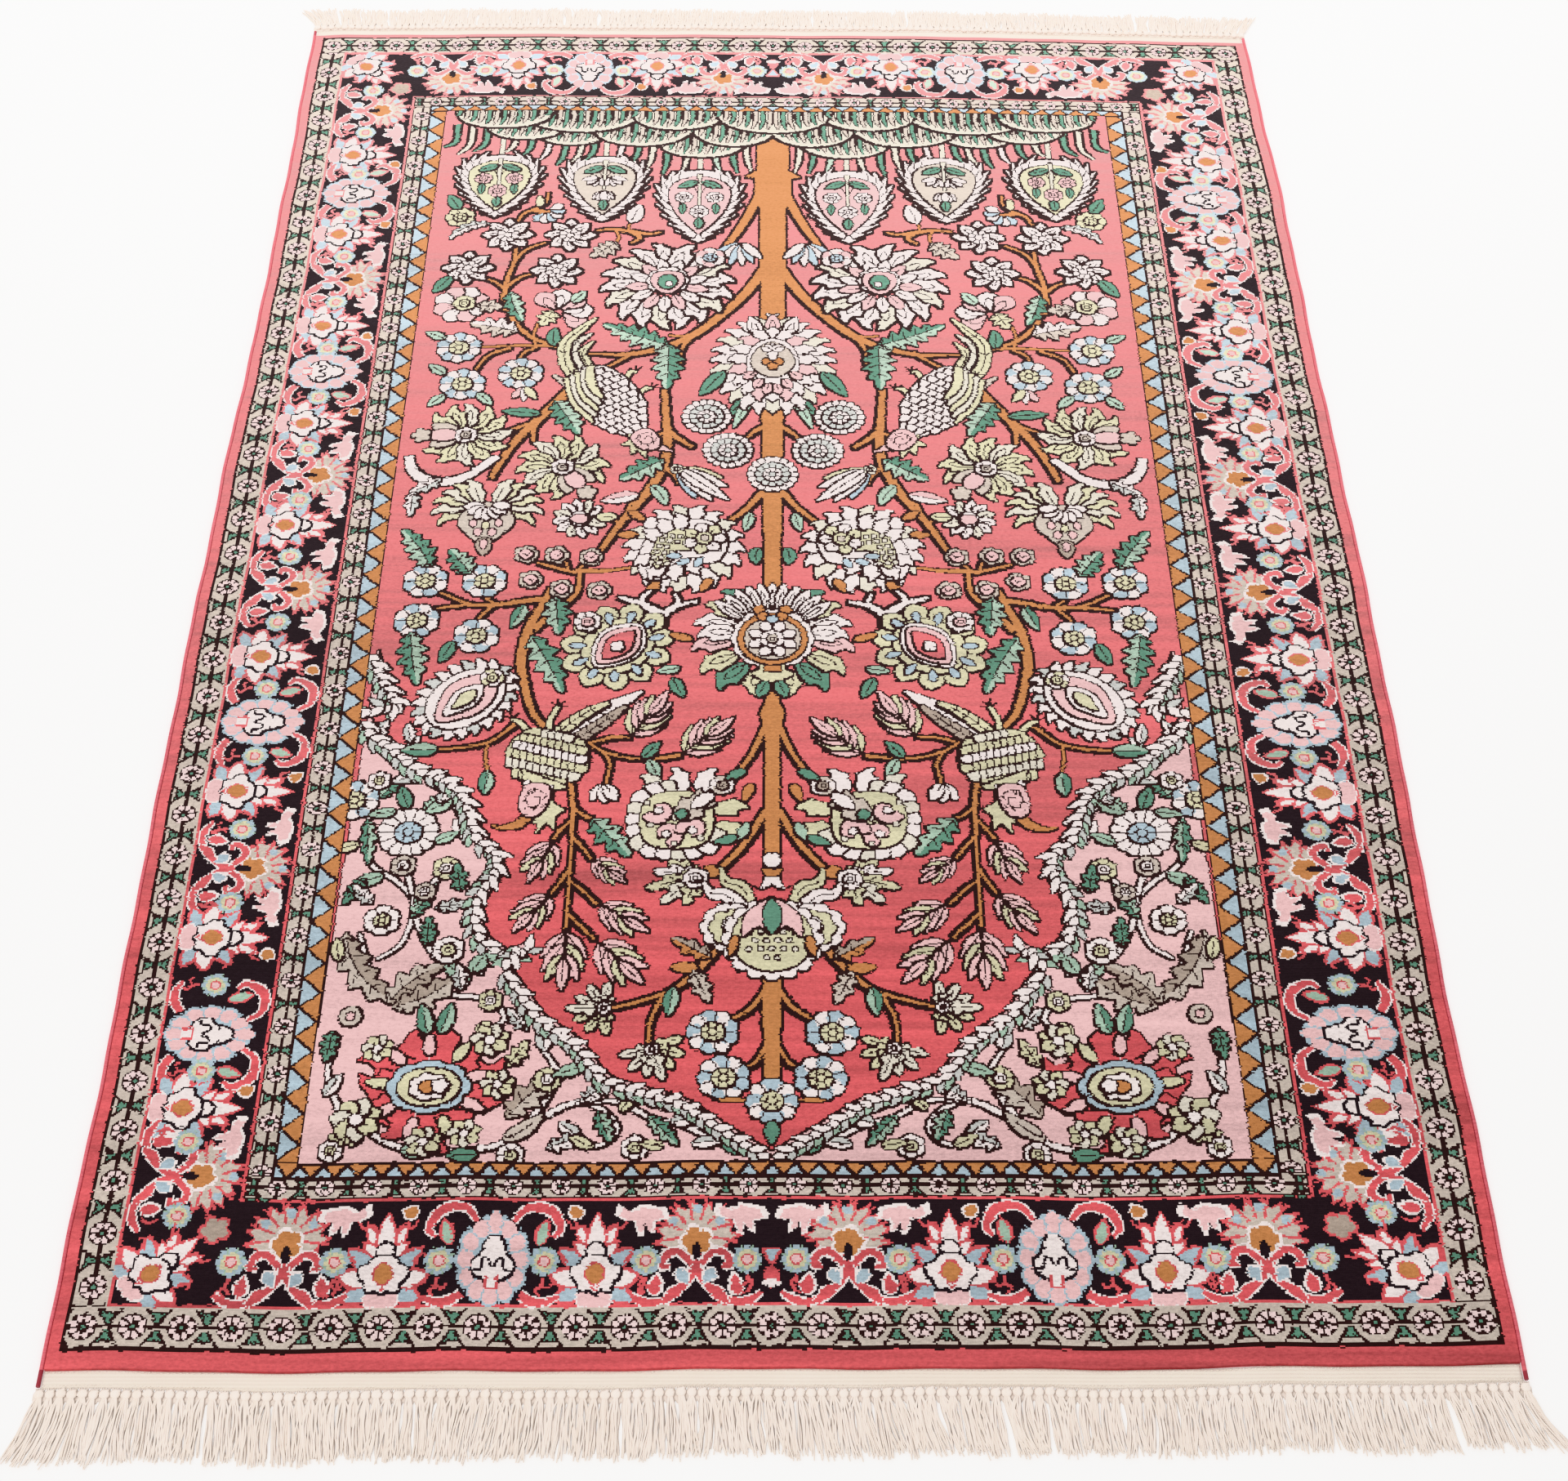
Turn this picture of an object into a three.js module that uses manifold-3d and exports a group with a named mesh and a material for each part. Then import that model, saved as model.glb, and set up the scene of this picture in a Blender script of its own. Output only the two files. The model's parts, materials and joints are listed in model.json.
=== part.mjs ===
// A hand-knotted rug with a short pile, laid flat: pile, two overcast sides, two flat-woven ends and two fringes.
// Millimetres, +Z up. X runs across the rug and Y along it; the near end is at -Y. The rug rests on z = 0.
import * as THREE from "three";
import { mergeVertices } from "three/addons/utils/BufferGeometryUtils.js";
import Module from "manifold-3d";

const wasm = await Module();
wasm.setup();

const gap = 0.45; // between neighbouring pieces; their straight spans leave at least 0.3 of it
const pileThickness = 5;
const pileRim = 0.9; // how far each piece's rims are softened
const selvedgeWidth = 4.2;
const selvedgeHeight = 4.4;
const selvedgeRim = 1.2;
const stubShort = 0.7; // how much sooner than the flat-woven end the selvedge stops
const kilimThickness = 1.8;
const kilimRim = 0.3;
const knotRowHeight = 5.2;
const knotRowRim = 1.6;
const endSpans = 36; // the straight spans that a wavy end is drawn with
const sideSpans = 44;

// The two ends: out is the way the fringe points, longerLeft what its strands gain towards the left corner.
const nearEnd = { out: -1, kilimDepth: 16, knotRowDepth: 11.5, strandLength: 52, longerLeft: 7, strands: 138 };
const farEnd = { out: 1, kilimDepth: 13, knotRowDepth: 11, strandLength: 38, longerLeft: 1, strands: 138 };

const strand = { rootWidth: 5.4, tipWidth: 4.2, rootHeight: 2.8, tipHeight: 1.6, sections: 3, inKnotRow: 5 };
const cornerSplay = 19; // how far the last strand's tip leans out at a corner
const cornerReach = 42; // how fast that lean fades towards the middle

// The hand-woven outline: where the two long sides stand at places along the rug, and the two ends across it.
const leftSide = [
  { y: -955, x: -606.3 },
  { y: -629, x: -604.3 },
  { y: -400, x: -606.0 },
  { y: -139, x: -607.0 },
  { y: 160, x: -606.5 },
  { y: 385, x: -602.6 },
  { y: 634, x: -603.0 },
  { y: 975, x: -606.0 },
];
const rightSide = [
  { y: -955, x: 611.2 },
  { y: -766, x: 611.8 },
  { y: -554, x: 610.5 },
  { y: -314, x: 613.9 },
  { y: -40, x: 615.2 },
  { y: 390, x: 612.7 },
  { y: 640, x: 613.3 },
  { y: 775, x: 610.0 },
  { y: 965, x: 607.2 },
];
const nearSide = [
  { x: -606, y: -953.7 },
  { x: -437, y: -955.8 },
  { x: -197, y: -954.0 },
  { x: 43, y: -951.8 },
  { x: 284, y: -952.4 },
  { x: 445, y: -949.5 },
  { x: 611, y: -947.5 },
];
const farSide = [
  { x: -606, y: 974.0 },
  { x: -566, y: 976.5 },
  { x: -312, y: 979.8 },
  { x: -56, y: 979.0 },
  { x: 199, y: 977.0 },
  { x: 454, y: 969.0 },
  { x: 608, y: 963.5 },
];

// How far the near strands' tips lie to the side of their knots: they are combed a little this way and that.
const nearLean = [
  { x: -606, lean: 0 },
  { x: -500, lean: 4 },
  { x: -400, lean: 6 },
  { x: -300, lean: 1 },
  { x: -240, lean: -6 },
  { x: -170, lean: -1 },
  { x: -20, lean: 4 },
  { x: 60, lean: 9 },
  { x: 160, lean: 9 },
  { x: 250, lean: 1.5 },
  { x: 490, lean: 4 },
  { x: 611, lean: 5 },
];

// The value of one column at a place in another, eased between the rows.
function lookUp(rows, key, value, place) {
  let i = 0;
  while (i < rows.length - 2 && place > rows[i + 1][key]) i += 1;
  const share = (place - rows[i][key]) / (rows[i + 1][key] - rows[i][key]);
  const eased = THREE.MathUtils.smoothstep(share, 0, 1);
  return THREE.MathUtils.lerp(rows[i][value], rows[i + 1][value], eased);
}

// A small even wander, in place of the weaver's unevenness.
const wander = (place, seed) => 0.6 * Math.sin(place / 37 + seed) + 0.35 * Math.sin(place / 15.3 + 2.1 * seed);

const leftEdge = (y) => lookUp(leftSide, "y", "x", y) + wander(y, 1);
const rightEdge = (y) => lookUp(rightSide, "y", "x", y) + wander(y, 2);
const pileEnd = {
  [nearEnd.out]: (x) => lookUp(nearSide, "x", "y", x) + wander(x, 3),
  [farEnd.out]: (x) => lookUp(farSide, "x", "y", x) + wander(x, 4),
};

// Evenly spaced places from one value to another.
const places = (from, to, spans) => Array.from({ length: spans + 1 }, (_, i) => from + ((to - from) * i) / spans);

// A flat piece with softened rims, from the outline of its plan.
function slab(points, height, rim) {
  const geometry = new THREE.ExtrudeGeometry(new THREE.Shape(points), {
    depth: height - 2 * rim,
    bevelEnabled: true,
    bevelThickness: rim,
    bevelSize: rim,
    bevelOffset: -rim,
    bevelSegments: 1,
  });
  return geometry.translate(0, 0, rim);
}

// The points of one edge that runs across the rug, from the left side to the right one.
const acrossRow = (edge, inset) =>
  places(leftEdge(edge(0)) + inset, rightEdge(edge(0)) - inset, endSpans).map((x) => new THREE.Vector2(x, edge(x)));

// The outline between two edges that run across the rug, drawn counter-clockwise.
const acrossOutline = (lowEdge, highEdge, inset) => [
  ...acrossRow(lowEdge, inset),
  ...acrossRow(highEdge, inset).reverse(),
];

// The places along a long side, between the pile's two ends.
const sideYs = (edge) => places(pileEnd[nearEnd.out](edge(0)), pileEnd[farEnd.out](edge(0)), sideSpans);

function pileGeometry() {
  const inset = selvedgeWidth + gap;
  const rightYs = sideYs(rightEdge).slice(1, -1);
  const leftYs = sideYs(leftEdge).slice(1, -1).reverse();
  const points = [
    ...acrossRow(pileEnd[nearEnd.out], inset),
    ...rightYs.map((y) => new THREE.Vector2(rightEdge(y) - inset, y)),
    ...acrossRow(pileEnd[farEnd.out], inset).reverse(),
    ...leftYs.map((y) => new THREE.Vector2(leftEdge(y) + inset, y)),
  ];
  return slab(points, pileThickness, pileRim);
}

// The overcast cord along one long side, from stub to stub.
function selvedgeGeometry(edge, inward) {
  const ys = sideYs(edge);
  ys.unshift(ys[0] - nearEnd.kilimDepth + stubShort);
  ys.push(ys.at(-1) + farEnd.kilimDepth - stubShort);
  const outer = ys.map((y) => new THREE.Vector2(edge(y), y));
  const inner = ys.map((y) => new THREE.Vector2(edge(y) + inward * selvedgeWidth, y));
  const loop = inward > 0 ? [...inner, ...outer.reverse()] : [...outer, ...inner.reverse()];
  return slab(loop, selvedgeHeight, selvedgeRim);
}

// Where the flat-woven end stops: its outer edge wanders a little on its own.
const kilimEdge = (end) => (x) =>
  pileEnd[end.out](x) + end.out * (gap + end.kilimDepth) + 0.5 * wander(x, 5 + end.out);

function kilimGeometry(end) {
  const inner = (x) => pileEnd[end.out](x) + end.out * gap;
  const outer = kilimEdge(end);
  const [low, high] = end.out < 0 ? [outer, inner] : [inner, outer];
  return slab(acrossOutline(low, high, selvedgeWidth + gap), kilimThickness, kilimRim);
}

function solidOf(geometry) {
  const bare = geometry.clone();
  bare.deleteAttribute("normal");
  bare.deleteAttribute("uv");
  const merged = mergeVertices(bare);
  return new wasm.Manifold(
    new wasm.Mesh({
      numProp: 3,
      vertProperties: merged.attributes.position.array,
      triVerts: new Uint32Array(merged.index.array),
    }),
  );
}

function geometryOf(solid) {
  const { numProp, vertProperties, triVerts } = solid.getMesh();
  const positions = [];
  for (let i = 0; i < vertProperties.length; i += numProp) positions.push(...vertProperties.slice(i, i + 3));
  return new THREE.BufferGeometry()
    .setAttribute("position", new THREE.Float32BufferAttribute(positions, 3))
    .setIndex([...triVerts]);
}

// One four-sided lock of warp yarns, flat on the floor: a box bent and tapered from its root to its tip.
function strandGeometry(root, end, length, lean, sway) {
  const geometry = new THREE.BoxGeometry(1, 1, 1, 1, strand.sections, 1);
  const position = geometry.attributes.position;
  for (let i = 0; i < position.count; i += 1) {
    const along = 0.5 + end.out * position.getY(i);
    const width = THREE.MathUtils.lerp(strand.rootWidth, strand.tipWidth, along);
    const height = THREE.MathUtils.lerp(strand.rootHeight, strand.tipHeight, along);
    const centre = root.x + lean * along ** 1.5 + sway * Math.sin(Math.PI * along);
    position.setXYZ(
      i,
      centre + position.getX(i) * width,
      root.y + end.out * length * along,
      (position.getZ(i) + 0.5) * height,
    );
  }
  return geometry;
}

// The row of knots that ties off the warps, with the strands hanging on from it.
function fringeGeometry(end) {
  const inner = (x) => kilimEdge(end)(x) + end.out * gap;
  const outer = (x) => inner(x) + end.out * end.knotRowDepth;
  const [low, high] = end.out < 0 ? [outer, inner] : [inner, outer];
  const row = solidOf(slab(acrossOutline(low, high, gap), knotRowHeight, knotRowRim));
  const left = leftEdge(inner(0));
  const right = rightEdge(inner(0));
  const pitch = (right - left) / end.strands;
  const solids = Array.from({ length: end.strands }, (_, i) => {
    const x = left + pitch * (i + 0.5);
    const root = { x, y: outer(x) - end.out * strand.inKnotRow };
    const towardsLeft = (right - x) / (right - left);
    const longer = end.longerLeft * towardsLeft ** 3 + 2.2 * Math.sin(i * 2.4) + 1.3 * Math.sin(i * 0.37);
    const length = strand.inKnotRow + end.strandLength + longer;
    const splay = Math.exp((x - right) / cornerReach) - Math.exp((left - x) / cornerReach);
    const combed = end === nearEnd ? lookUp(nearLean, "x", "lean", x) : 0;
    const lean = cornerSplay * splay + combed + 0.8 * Math.sin(i * 1.7);
    return solidOf(strandGeometry(root, end, length, lean, 0.7 * Math.sin(i * 2.9)));
  });
  return geometryOf(wasm.Manifold.union([row, ...solids]));
}

const rose = new THREE.MeshStandardMaterial({ color: 0xd1545f, roughness: 0.72, metalness: 0 });
const overcast = new THREE.MeshStandardMaterial({ color: 0xb23f49, roughness: 0.8, metalness: 0 });
const flatWeave = new THREE.MeshStandardMaterial({ color: 0xe9dcc6, roughness: 0.9, metalness: 0 });
const warpYarn = new THREE.MeshStandardMaterial({ color: 0xeee6d8, roughness: 0.9, metalness: 0 });

const rug = new THREE.Group();

function addPiece(name, geometry, material) {
  const piece = new THREE.Mesh(geometry, material);
  piece.name = name;
  rug.add(piece);
}

addPiece("pile", pileGeometry(), rose);
addPiece("selvedge_left", selvedgeGeometry(leftEdge, 1), overcast);
addPiece("selvedge_right", selvedgeGeometry(rightEdge, -1), overcast);
addPiece("kilim_near", kilimGeometry(nearEnd), flatWeave);
addPiece("kilim_far", kilimGeometry(farEnd), flatWeave);
addPiece("fringe_near", fringeGeometry(nearEnd), warpYarn);
addPiece("fringe_far", fringeGeometry(farEnd), warpYarn);

export default rug;
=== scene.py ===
# A hand-knotted silk rug lying on a pale floor, seen from its near end.
# Metres; X across the rug, Y along it towards the far end, Z up. Chart work is in millimetres.
import json
import math
import time

import bmesh
import bpy
import numpy as np
from mathutils import Matrix, Vector

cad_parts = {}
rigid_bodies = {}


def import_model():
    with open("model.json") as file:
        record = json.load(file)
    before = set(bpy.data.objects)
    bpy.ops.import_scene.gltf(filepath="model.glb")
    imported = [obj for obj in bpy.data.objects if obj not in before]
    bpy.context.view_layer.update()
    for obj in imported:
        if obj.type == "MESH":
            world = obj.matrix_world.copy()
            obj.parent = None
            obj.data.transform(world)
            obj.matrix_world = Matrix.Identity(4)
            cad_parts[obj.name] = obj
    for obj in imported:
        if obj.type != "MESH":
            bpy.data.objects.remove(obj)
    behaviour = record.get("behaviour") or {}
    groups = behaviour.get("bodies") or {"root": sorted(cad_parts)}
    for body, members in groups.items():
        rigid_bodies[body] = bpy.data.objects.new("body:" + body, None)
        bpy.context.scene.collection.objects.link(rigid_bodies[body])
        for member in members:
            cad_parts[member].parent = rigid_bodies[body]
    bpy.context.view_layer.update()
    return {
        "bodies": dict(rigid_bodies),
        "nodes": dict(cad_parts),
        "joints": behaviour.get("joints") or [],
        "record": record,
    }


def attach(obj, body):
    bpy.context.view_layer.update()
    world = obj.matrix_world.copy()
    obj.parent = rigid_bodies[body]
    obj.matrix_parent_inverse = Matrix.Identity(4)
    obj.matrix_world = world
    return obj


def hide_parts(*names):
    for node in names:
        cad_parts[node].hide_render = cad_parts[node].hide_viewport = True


started = time.time()
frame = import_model()
scene = bpy.context.scene


def report(stage):
    print(f"{stage}, {time.time() - started:.1f} s", flush=True)


# Shader helpers.

class Wire:
    # a socket that takes part in sums: each operation on it adds a Math node
    def __init__(self, finish, socket):
        self.finish, self.socket = finish, socket

    def sum(self, operation, *parts):
        return self.finish.node("ShaderNodeMath", {"operation": operation}, dict(enumerate(parts)))

    def __add__(self, other):
        return self.sum("ADD", self, other)

    def __radd__(self, other):
        return self.sum("ADD", other, self)

    def __sub__(self, other):
        return self.sum("SUBTRACT", self, other)

    def __rsub__(self, other):
        return self.sum("SUBTRACT", other, self)

    def __mul__(self, other):
        return self.sum("MULTIPLY", self, other)

    def __rmul__(self, other):
        return self.sum("MULTIPLY", other, self)

    def __truediv__(self, other):
        return self.sum("DIVIDE", self, other)

    def __rpow__(self, other):
        return self.sum("POWER", other, self)

    def __mod__(self, other):
        return self.sum("FLOORED_MODULO", self, other)

    def __gt__(self, other):
        return self.sum("GREATER_THAN", self, other)

    def floor(self):
        return self.sum("FLOOR", self)

    def sine(self):
        return self.sum("SINE", self)

    def held(self, low, high):
        return self.sum("MINIMUM", self.sum("MAXIMUM", self, low), high)


class Finish:
    # a material that is built node by node
    def __init__(self, name, **constants):
        self.material = bpy.data.materials.new(name)
        self.material.use_nodes = True
        self.tree = self.material.node_tree
        self.shader = self.tree.nodes["Principled BSDF"]
        for socket, value in constants.items():
            self.shader.inputs[socket.replace("_", " ")].default_value = value

    def node(self, kind, settings=None, values=None, out=0):
        node = self.tree.nodes.new(kind)
        for name, value in (settings or {}).items():
            if name == "stops":
                elements = node.color_ramp.elements
                while len(elements) < len(value):
                    elements.new(0.5)
                for element, (place, shade) in zip(elements, value):
                    element.position, element.color = place, colour(*shade)
            elif name == "steps":
                node.color_ramp.interpolation = value
            else:
                setattr(node, name, value)
        for socket, value in (values or {}).items():
            if isinstance(value, Wire):
                self.tree.links.new(value.socket, node.inputs[socket])
            else:
                node.inputs[socket].default_value = value
        return Wire(self, node.outputs[out])

    def place(self):
        return self.node("ShaderNodeTexCoord", out="Object")

    def split(self, vector):
        return [self.node("ShaderNodeSeparateXYZ", None, {0: vector}, out=i) for i in range(3)]

    def noise(self, vector, scale, detail=2.0, rough=0.5):
        values = {"Vector": vector, "Scale": scale, "Detail": detail, "Roughness": rough}
        return self.node("ShaderNodeTexNoise", None, values)

    def stretch(self, vector, scale):
        return self.node("ShaderNodeMapping", None, {"Vector": vector, "Scale": scale})

    def blend(self, share, first, second, how="MIX"):
        settings = {"data_type": "RGBA", "blend_type": how, "clamp_factor": True}
        return self.node("ShaderNodeMix", settings, {0: share, 6: first, 7: second}, out=2)

    def ramp(self, share, stops, steps="LINEAR"):
        return self.node("ShaderNodeValToRGB", {"steps": steps, "stops": stops}, {0: share})

    def bump(self, height, depth, strength=1.0):
        values = {"Height": height, "Distance": depth, "Strength": strength}
        return self.node("ShaderNodeBump", None, values)

    def feed(self, **wires):
        for socket, wire in wires.items():
            self.tree.links.new(wire.socket, self.shader.inputs[socket.replace("_", " ")])
        return self.material


def colour(red, green, blue):
    return (red, green, blue, 1.0)


def addPiece(name, mesh, material, smooth=True):
    piece = bpy.data.objects.new(name, mesh)
    scene.collection.objects.link(piece)
    mesh.materials.clear()
    mesh.materials.append(material)
    mesh.polygons.foreach_set("use_smooth", [smooth] * len(mesh.polygons))
    return piece


def meshFrom(bm, name):
    mesh = bpy.data.meshes.new(name)
    bm.to_mesh(mesh)
    bm.free()
    return mesh


# The rug's outline: the same edges as the solids, in millimetres.

edges = {
    "left": [
        (-955, -606.3), (-629, -604.3), (-400, -606.0), (-139, -607.0), (160, -606.5), (385, -602.6),
        (634, -603.0), (975, -606.0)],
    "right": [
        (-955, 611.2), (-766, 611.8), (-554, 610.5), (-314, 613.9), (-40, 615.2), (390, 612.7),
        (640, 613.3), (775, 610.0), (965, 607.2)],
    "near": [
        (-606, -953.7), (-437, -955.8), (-197, -954.0), (43, -951.8), (284, -952.4), (445, -949.5),
        (611, -947.5)],
    "far": [
        (-606, 974.0), (-566, 976.5), (-312, 979.8), (-56, 979.0), (199, 977.0), (454, 969.0),
        (608, 963.5)],
    "wanderSeed": {"left": 1, "right": 2, "near": 3, "far": 4},
    "gap": 0.45,
}


def wander(place, seed):
    return 0.6 * np.sin(place / 37 + seed) + 0.35 * np.sin(place / 15.3 + 2.1 * seed)


def edgeAt(side, place):
    rows = edges[side]
    place = np.asarray(place, float)
    i = np.clip(np.searchsorted([row[0] for row in rows], place, side="left") - 1, 0, len(rows) - 2)
    starts, values = np.array(rows).T
    share = np.clip((place - starts[i]) / (starts[i + 1] - starts[i]), 0, 1)
    eased = share * share * (3 - 2 * share)
    return values[i] + (values[i + 1] - values[i]) * eased + wander(place, edges["wanderSeed"][side])


# The knot chart.

dyes = {
    "rose": (0.56, 0.088, 0.098),
    "ruby": (0.56, 0.080, 0.092),
    "black": (0.032, 0.018, 0.018),
    "ivory": (0.76, 0.68, 0.665),
    "beige": (0.50, 0.43, 0.375),
    "teal": (0.115, 0.24, 0.175),
    "sage": (0.30, 0.42, 0.33),
    "sky": (0.34, 0.43, 0.485),
    "blush": (0.71, 0.455, 0.455),
    "khaki": (0.545, 0.515, 0.345),
    "ochre": (0.47, 0.205, 0.085),
    "taupe": (0.37, 0.30, 0.25),
    "grey": (0.49, 0.49, 0.47),
    "cream": (0.62, 0.575, 0.495),
    "night": (0.026, 0.019, 0.022),
    "shell": (0.73, 0.575, 0.565),
}
dyeNumber = {name: number for number, name in enumerate(dyes)}
sheenAndStreakShare = {      # how far each dye is painted paler by the far end, as painted sheen; it also sets how strongly the dye is streaked
    "rose": 1.0, "ruby": 1.0, "sky": 0.4, "khaki": 0.35, "sage": 0.6, "blush": 0.3,
}

knots = {
    "across": 864,
    "along": 1365,
    "width": 1.4,       # mm of one knot, across the rug
    "height": 1.414,    # mm of one row of knots, along it
    "fine": 7,          # shapes up to so many knots always get an outline of one knot
    "seed": 31,
    "slip": {"along": (0.31, 3), "across": (0.33, 4)},      # how far, and how many knots together
}


class Chart:
    # the left half of the knot chart; outlines come as complex numbers in mm, x from the rug's middle
    # line and y from the near end
    def __init__(self):
        self.columns = knots["across"] // 2
        self.knots = np.full((knots["along"], self.columns), dyeNumber["rose"], np.uint8)
        self.bold = 1                           # knots in the outline of a large shape
        self.window = (0, knots["along"], 0)    # drawing shows from row to row, and from a column on

    def toKnots(self, outline):
        outline = np.asarray(outline, complex)
        return outline.real / knots["width"] + self.columns - 0.5, outline.imag / knots["height"] - 0.5

    def fill(self, outline, dye, edge="black"):
        x, y = self.toKnots(outline)
        low, high = int(np.floor(y.min())) - 3, int(np.ceil(y.max())) + 3
        left, right = int(np.floor(x.min())) - 3, int(np.ceil(x.max())) + 3
        rows = np.arange(low, high + 1)
        crossings = np.zeros((len(rows), right - left + 2), int)
        for x1, y1, x2, y2 in zip(x, y, np.roll(x, -1), np.roll(y, -1)):
            crossed = np.flatnonzero((y1 <= rows) != (y2 <= rows))
            if len(crossed):
                at = x1 + (rows[crossed] - y1) * (x2 - x1) / (y2 - y1)
                np.add.at(crossings, (crossed, np.ceil(at).astype(int) - left), 1)
        inside = np.cumsum(crossings, axis=1)[:, :-1] % 2 == 1
        if edge:
            grown = inside
            small = min(np.ptp(x), np.ptp(y)) <= knots["fine"]
            for both in (True, False, True)[: 1 if small else self.bold]:
                taller = grown.copy()
                taller[:-1] |= grown[1:]
                if both:
                    taller[1:] |= grown[:-1]
                grown = taller.copy()
                grown[:, 1:] |= taller[:, :-1]
                if both:
                    grown[:, :-1] |= taller[:, 1:]
            self.paint(grown, low, left, edge)
        self.paint(inside, low, left, dye)

    def paint(self, mask, low, left, dye):
        rows, columns = np.nonzero(mask)
        self.tie(rows + low, columns + left, dye)

    def tie(self, rows, columns, dye):
        first, last, column = self.window
        kept = (rows >= first) & (rows < last) & (columns >= column) & (columns < self.columns)
        self.knots[rows[kept], columns[kept]] = dyeNumber[dye]

    def whole(self):
        # both halves, with the small unevenness of hand-tied knots: some are one knot off their place
        full = np.concatenate([self.knots, self.knots[:, ::-1]], axis=1)
        rng = np.random.default_rng(knots["seed"])
        rows, columns = np.indices(full.shape)

        def slips(way):
            amount, run = knots["slip"][way]
            drawn = rng.normal(0, amount, (full.shape[0], full.shape[1] // run))
            return np.rint(drawn).astype(int).repeat(run, axis=1)

        columns += slips("across")
        rows += slips("along")
        return full[np.clip(rows, 0, full.shape[0] - 1), np.clip(columns, 0, full.shape[1] - 1)]

    def line(self, points, dye="black"):
        x, y = self.toKnots(points)
        steps = np.maximum(np.hypot(np.diff(x), np.diff(y)) * 2, 1).astype(int)
        for i, count in enumerate(steps):
            share = np.linspace(0, 1, count + 1)
            rows = np.rint(y[i] + (y[i + 1] - y[i]) * share).astype(int)
            columns = np.rint(x[i] + (x[i + 1] - x[i]) * share).astype(int)
            self.tie(rows, columns, dye)


class Spot:
    # a place on the chart, with its own scale along and across, turn in degrees, and flip
    def __init__(self, ground, at=0, turn=0, size=1, tall=None, flip=False):
        self.ground, self.at, self.size, self.flip = ground, at, size, flip
        self.tall = size if tall is None else tall
        self.spin = toward(turn)

    def move(self, points):
        points = np.asarray(points, complex)
        across = -points.real if self.flip else points.real
        return self.at + (across * self.size + 1j * points.imag * self.tall) * self.spin

    def fill(self, outline, dye, edge="black"):
        self.ground.fill(self.move(outline), dye, edge)

    def line(self, points, dye="black"):
        self.ground.line(self.move(points), dye)


def bothSides(spot):
    # the same place from its left side and from its right one
    return Spot(spot, flip=True), Spot(spot)


def toward(turn):
    return np.exp(1j * np.radians(turn))


def circle(radius, centre=0, sides=20):
    return centre + radius * np.exp(2j * np.pi * np.arange(sides) / sides)


def oval(across, along, centre=0):
    turn = 2 * np.pi * np.arange(28) / 28
    return centre + across * np.cos(turn) + 1j * along * np.sin(turn)


def lobed(radius, lobes, depth, centre=0, tall=1.0):
    # a round shape with a scalloped rim
    turn = np.linspace(0, 2 * np.pi, lobes * 6, endpoint=False)
    reach = radius * (1 - depth + depth * np.abs(np.cos(turn * lobes / 2)) ** 0.7)
    return centre + reach * np.cos(turn) + 1j * reach * tall * np.sin(turn)


def spiked(radius, spikes, depth, centre, tall, start):
    turn = np.pi * np.arange(2 * spikes) / spikes + np.radians(start)
    reach = np.where(np.arange(2 * spikes) % 2 == 0, radius, radius * (1 - depth))
    return centre + reach * np.cos(turn) + 1j * reach * tall * np.sin(turn)


def petal(length, width, widest, turn=90, base=0, blunt=0.8):
    # from its base along the way it turns to; blunt under 1 makes a rounder tip
    t = np.linspace(0, 1, 11)
    power = np.log(0.5) / np.log(widest)
    half = width / 2 * np.sin(np.pi * t**power) ** blunt
    outline = np.concatenate([length * t + 1j * half, (length * t - 1j * half)[-2:0:-1]])
    return base + outline * toward(turn)


def smooth(points, closed=False, steps=6):
    # a curve through the points
    points = np.asarray(points, complex)
    if closed:
        ring = np.concatenate([points[-1:], points, points[:2]])
    else:
        ring = np.concatenate([2 * points[:1] - points[1:2], points, 2 * points[-1:] - points[-2:-1]])
    a, b, c, d = ring[:-3, None], ring[1:-2, None], ring[2:-1, None], ring[3:, None]
    t = np.linspace(0, 1, steps, endpoint=False)[None, :]
    bent = (2 * a - 5 * b + 4 * c - d) * t**2 + (3 * b - a - 3 * c + d) * t**3
    curve = (0.5 * (2 * b + (c - a) * t + bent)).ravel()
    return curve if closed else np.append(curve, points[-1])


def ring(points):
    return smooth(points, closed=True)


def mirrored(half):
    # the given points and the same on the other side of the axis, in one outline
    other = [-complex(point).conjugate() for point in reversed(half)]
    return [*half, *other[complex(half[-1]).real == 0:]]


def twoSided(half):
    # a ring from the points of its one half; both the first and the last lie on its axis
    return ring(mirrored(half)[:-1])


def atPoints(places):
    # from x and y in turn
    return np.array(places[::2]) + 1j * np.array(places[1::2])


def ribbon(points, widths):
    # a band along a curve, its width eased between the given ones
    middle = smooth(points)
    along = np.linspace(0, 1, len(middle))
    half = np.interp(along, np.linspace(0, 1, len(widths)), widths) / 2
    heading = np.gradient(middle)
    side = 1j * heading / np.maximum(np.abs(heading), 1e-9)
    return np.concatenate([middle + side * half, (middle - side * half)[::-1]])


def leafOutline(length, width, curl, teeth):
    # with its midrib, which curls by so many degrees
    count = 4 * teeth + 1 if teeth else 13
    t = np.linspace(0, 1, count)
    heading = np.exp(1j * np.radians(curl) * t)
    steps = (heading[1:] + heading[:-1]) / 2 * length / (count - 1)
    rib = np.concatenate([[0], np.cumsum(steps)])
    half = width / 2 * np.sin(np.pi * t ** (np.log(0.5) / np.log(0.42))) ** 0.8
    if teeth:
        half = half * (0.48 + 1.04 * ((t * teeth) % 1))
    upper = rib + 1j * heading * half
    lower = rib - 1j * heading * half
    return np.concatenate([upper, lower[-2:0:-1]]), rib


# The borders.

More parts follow.
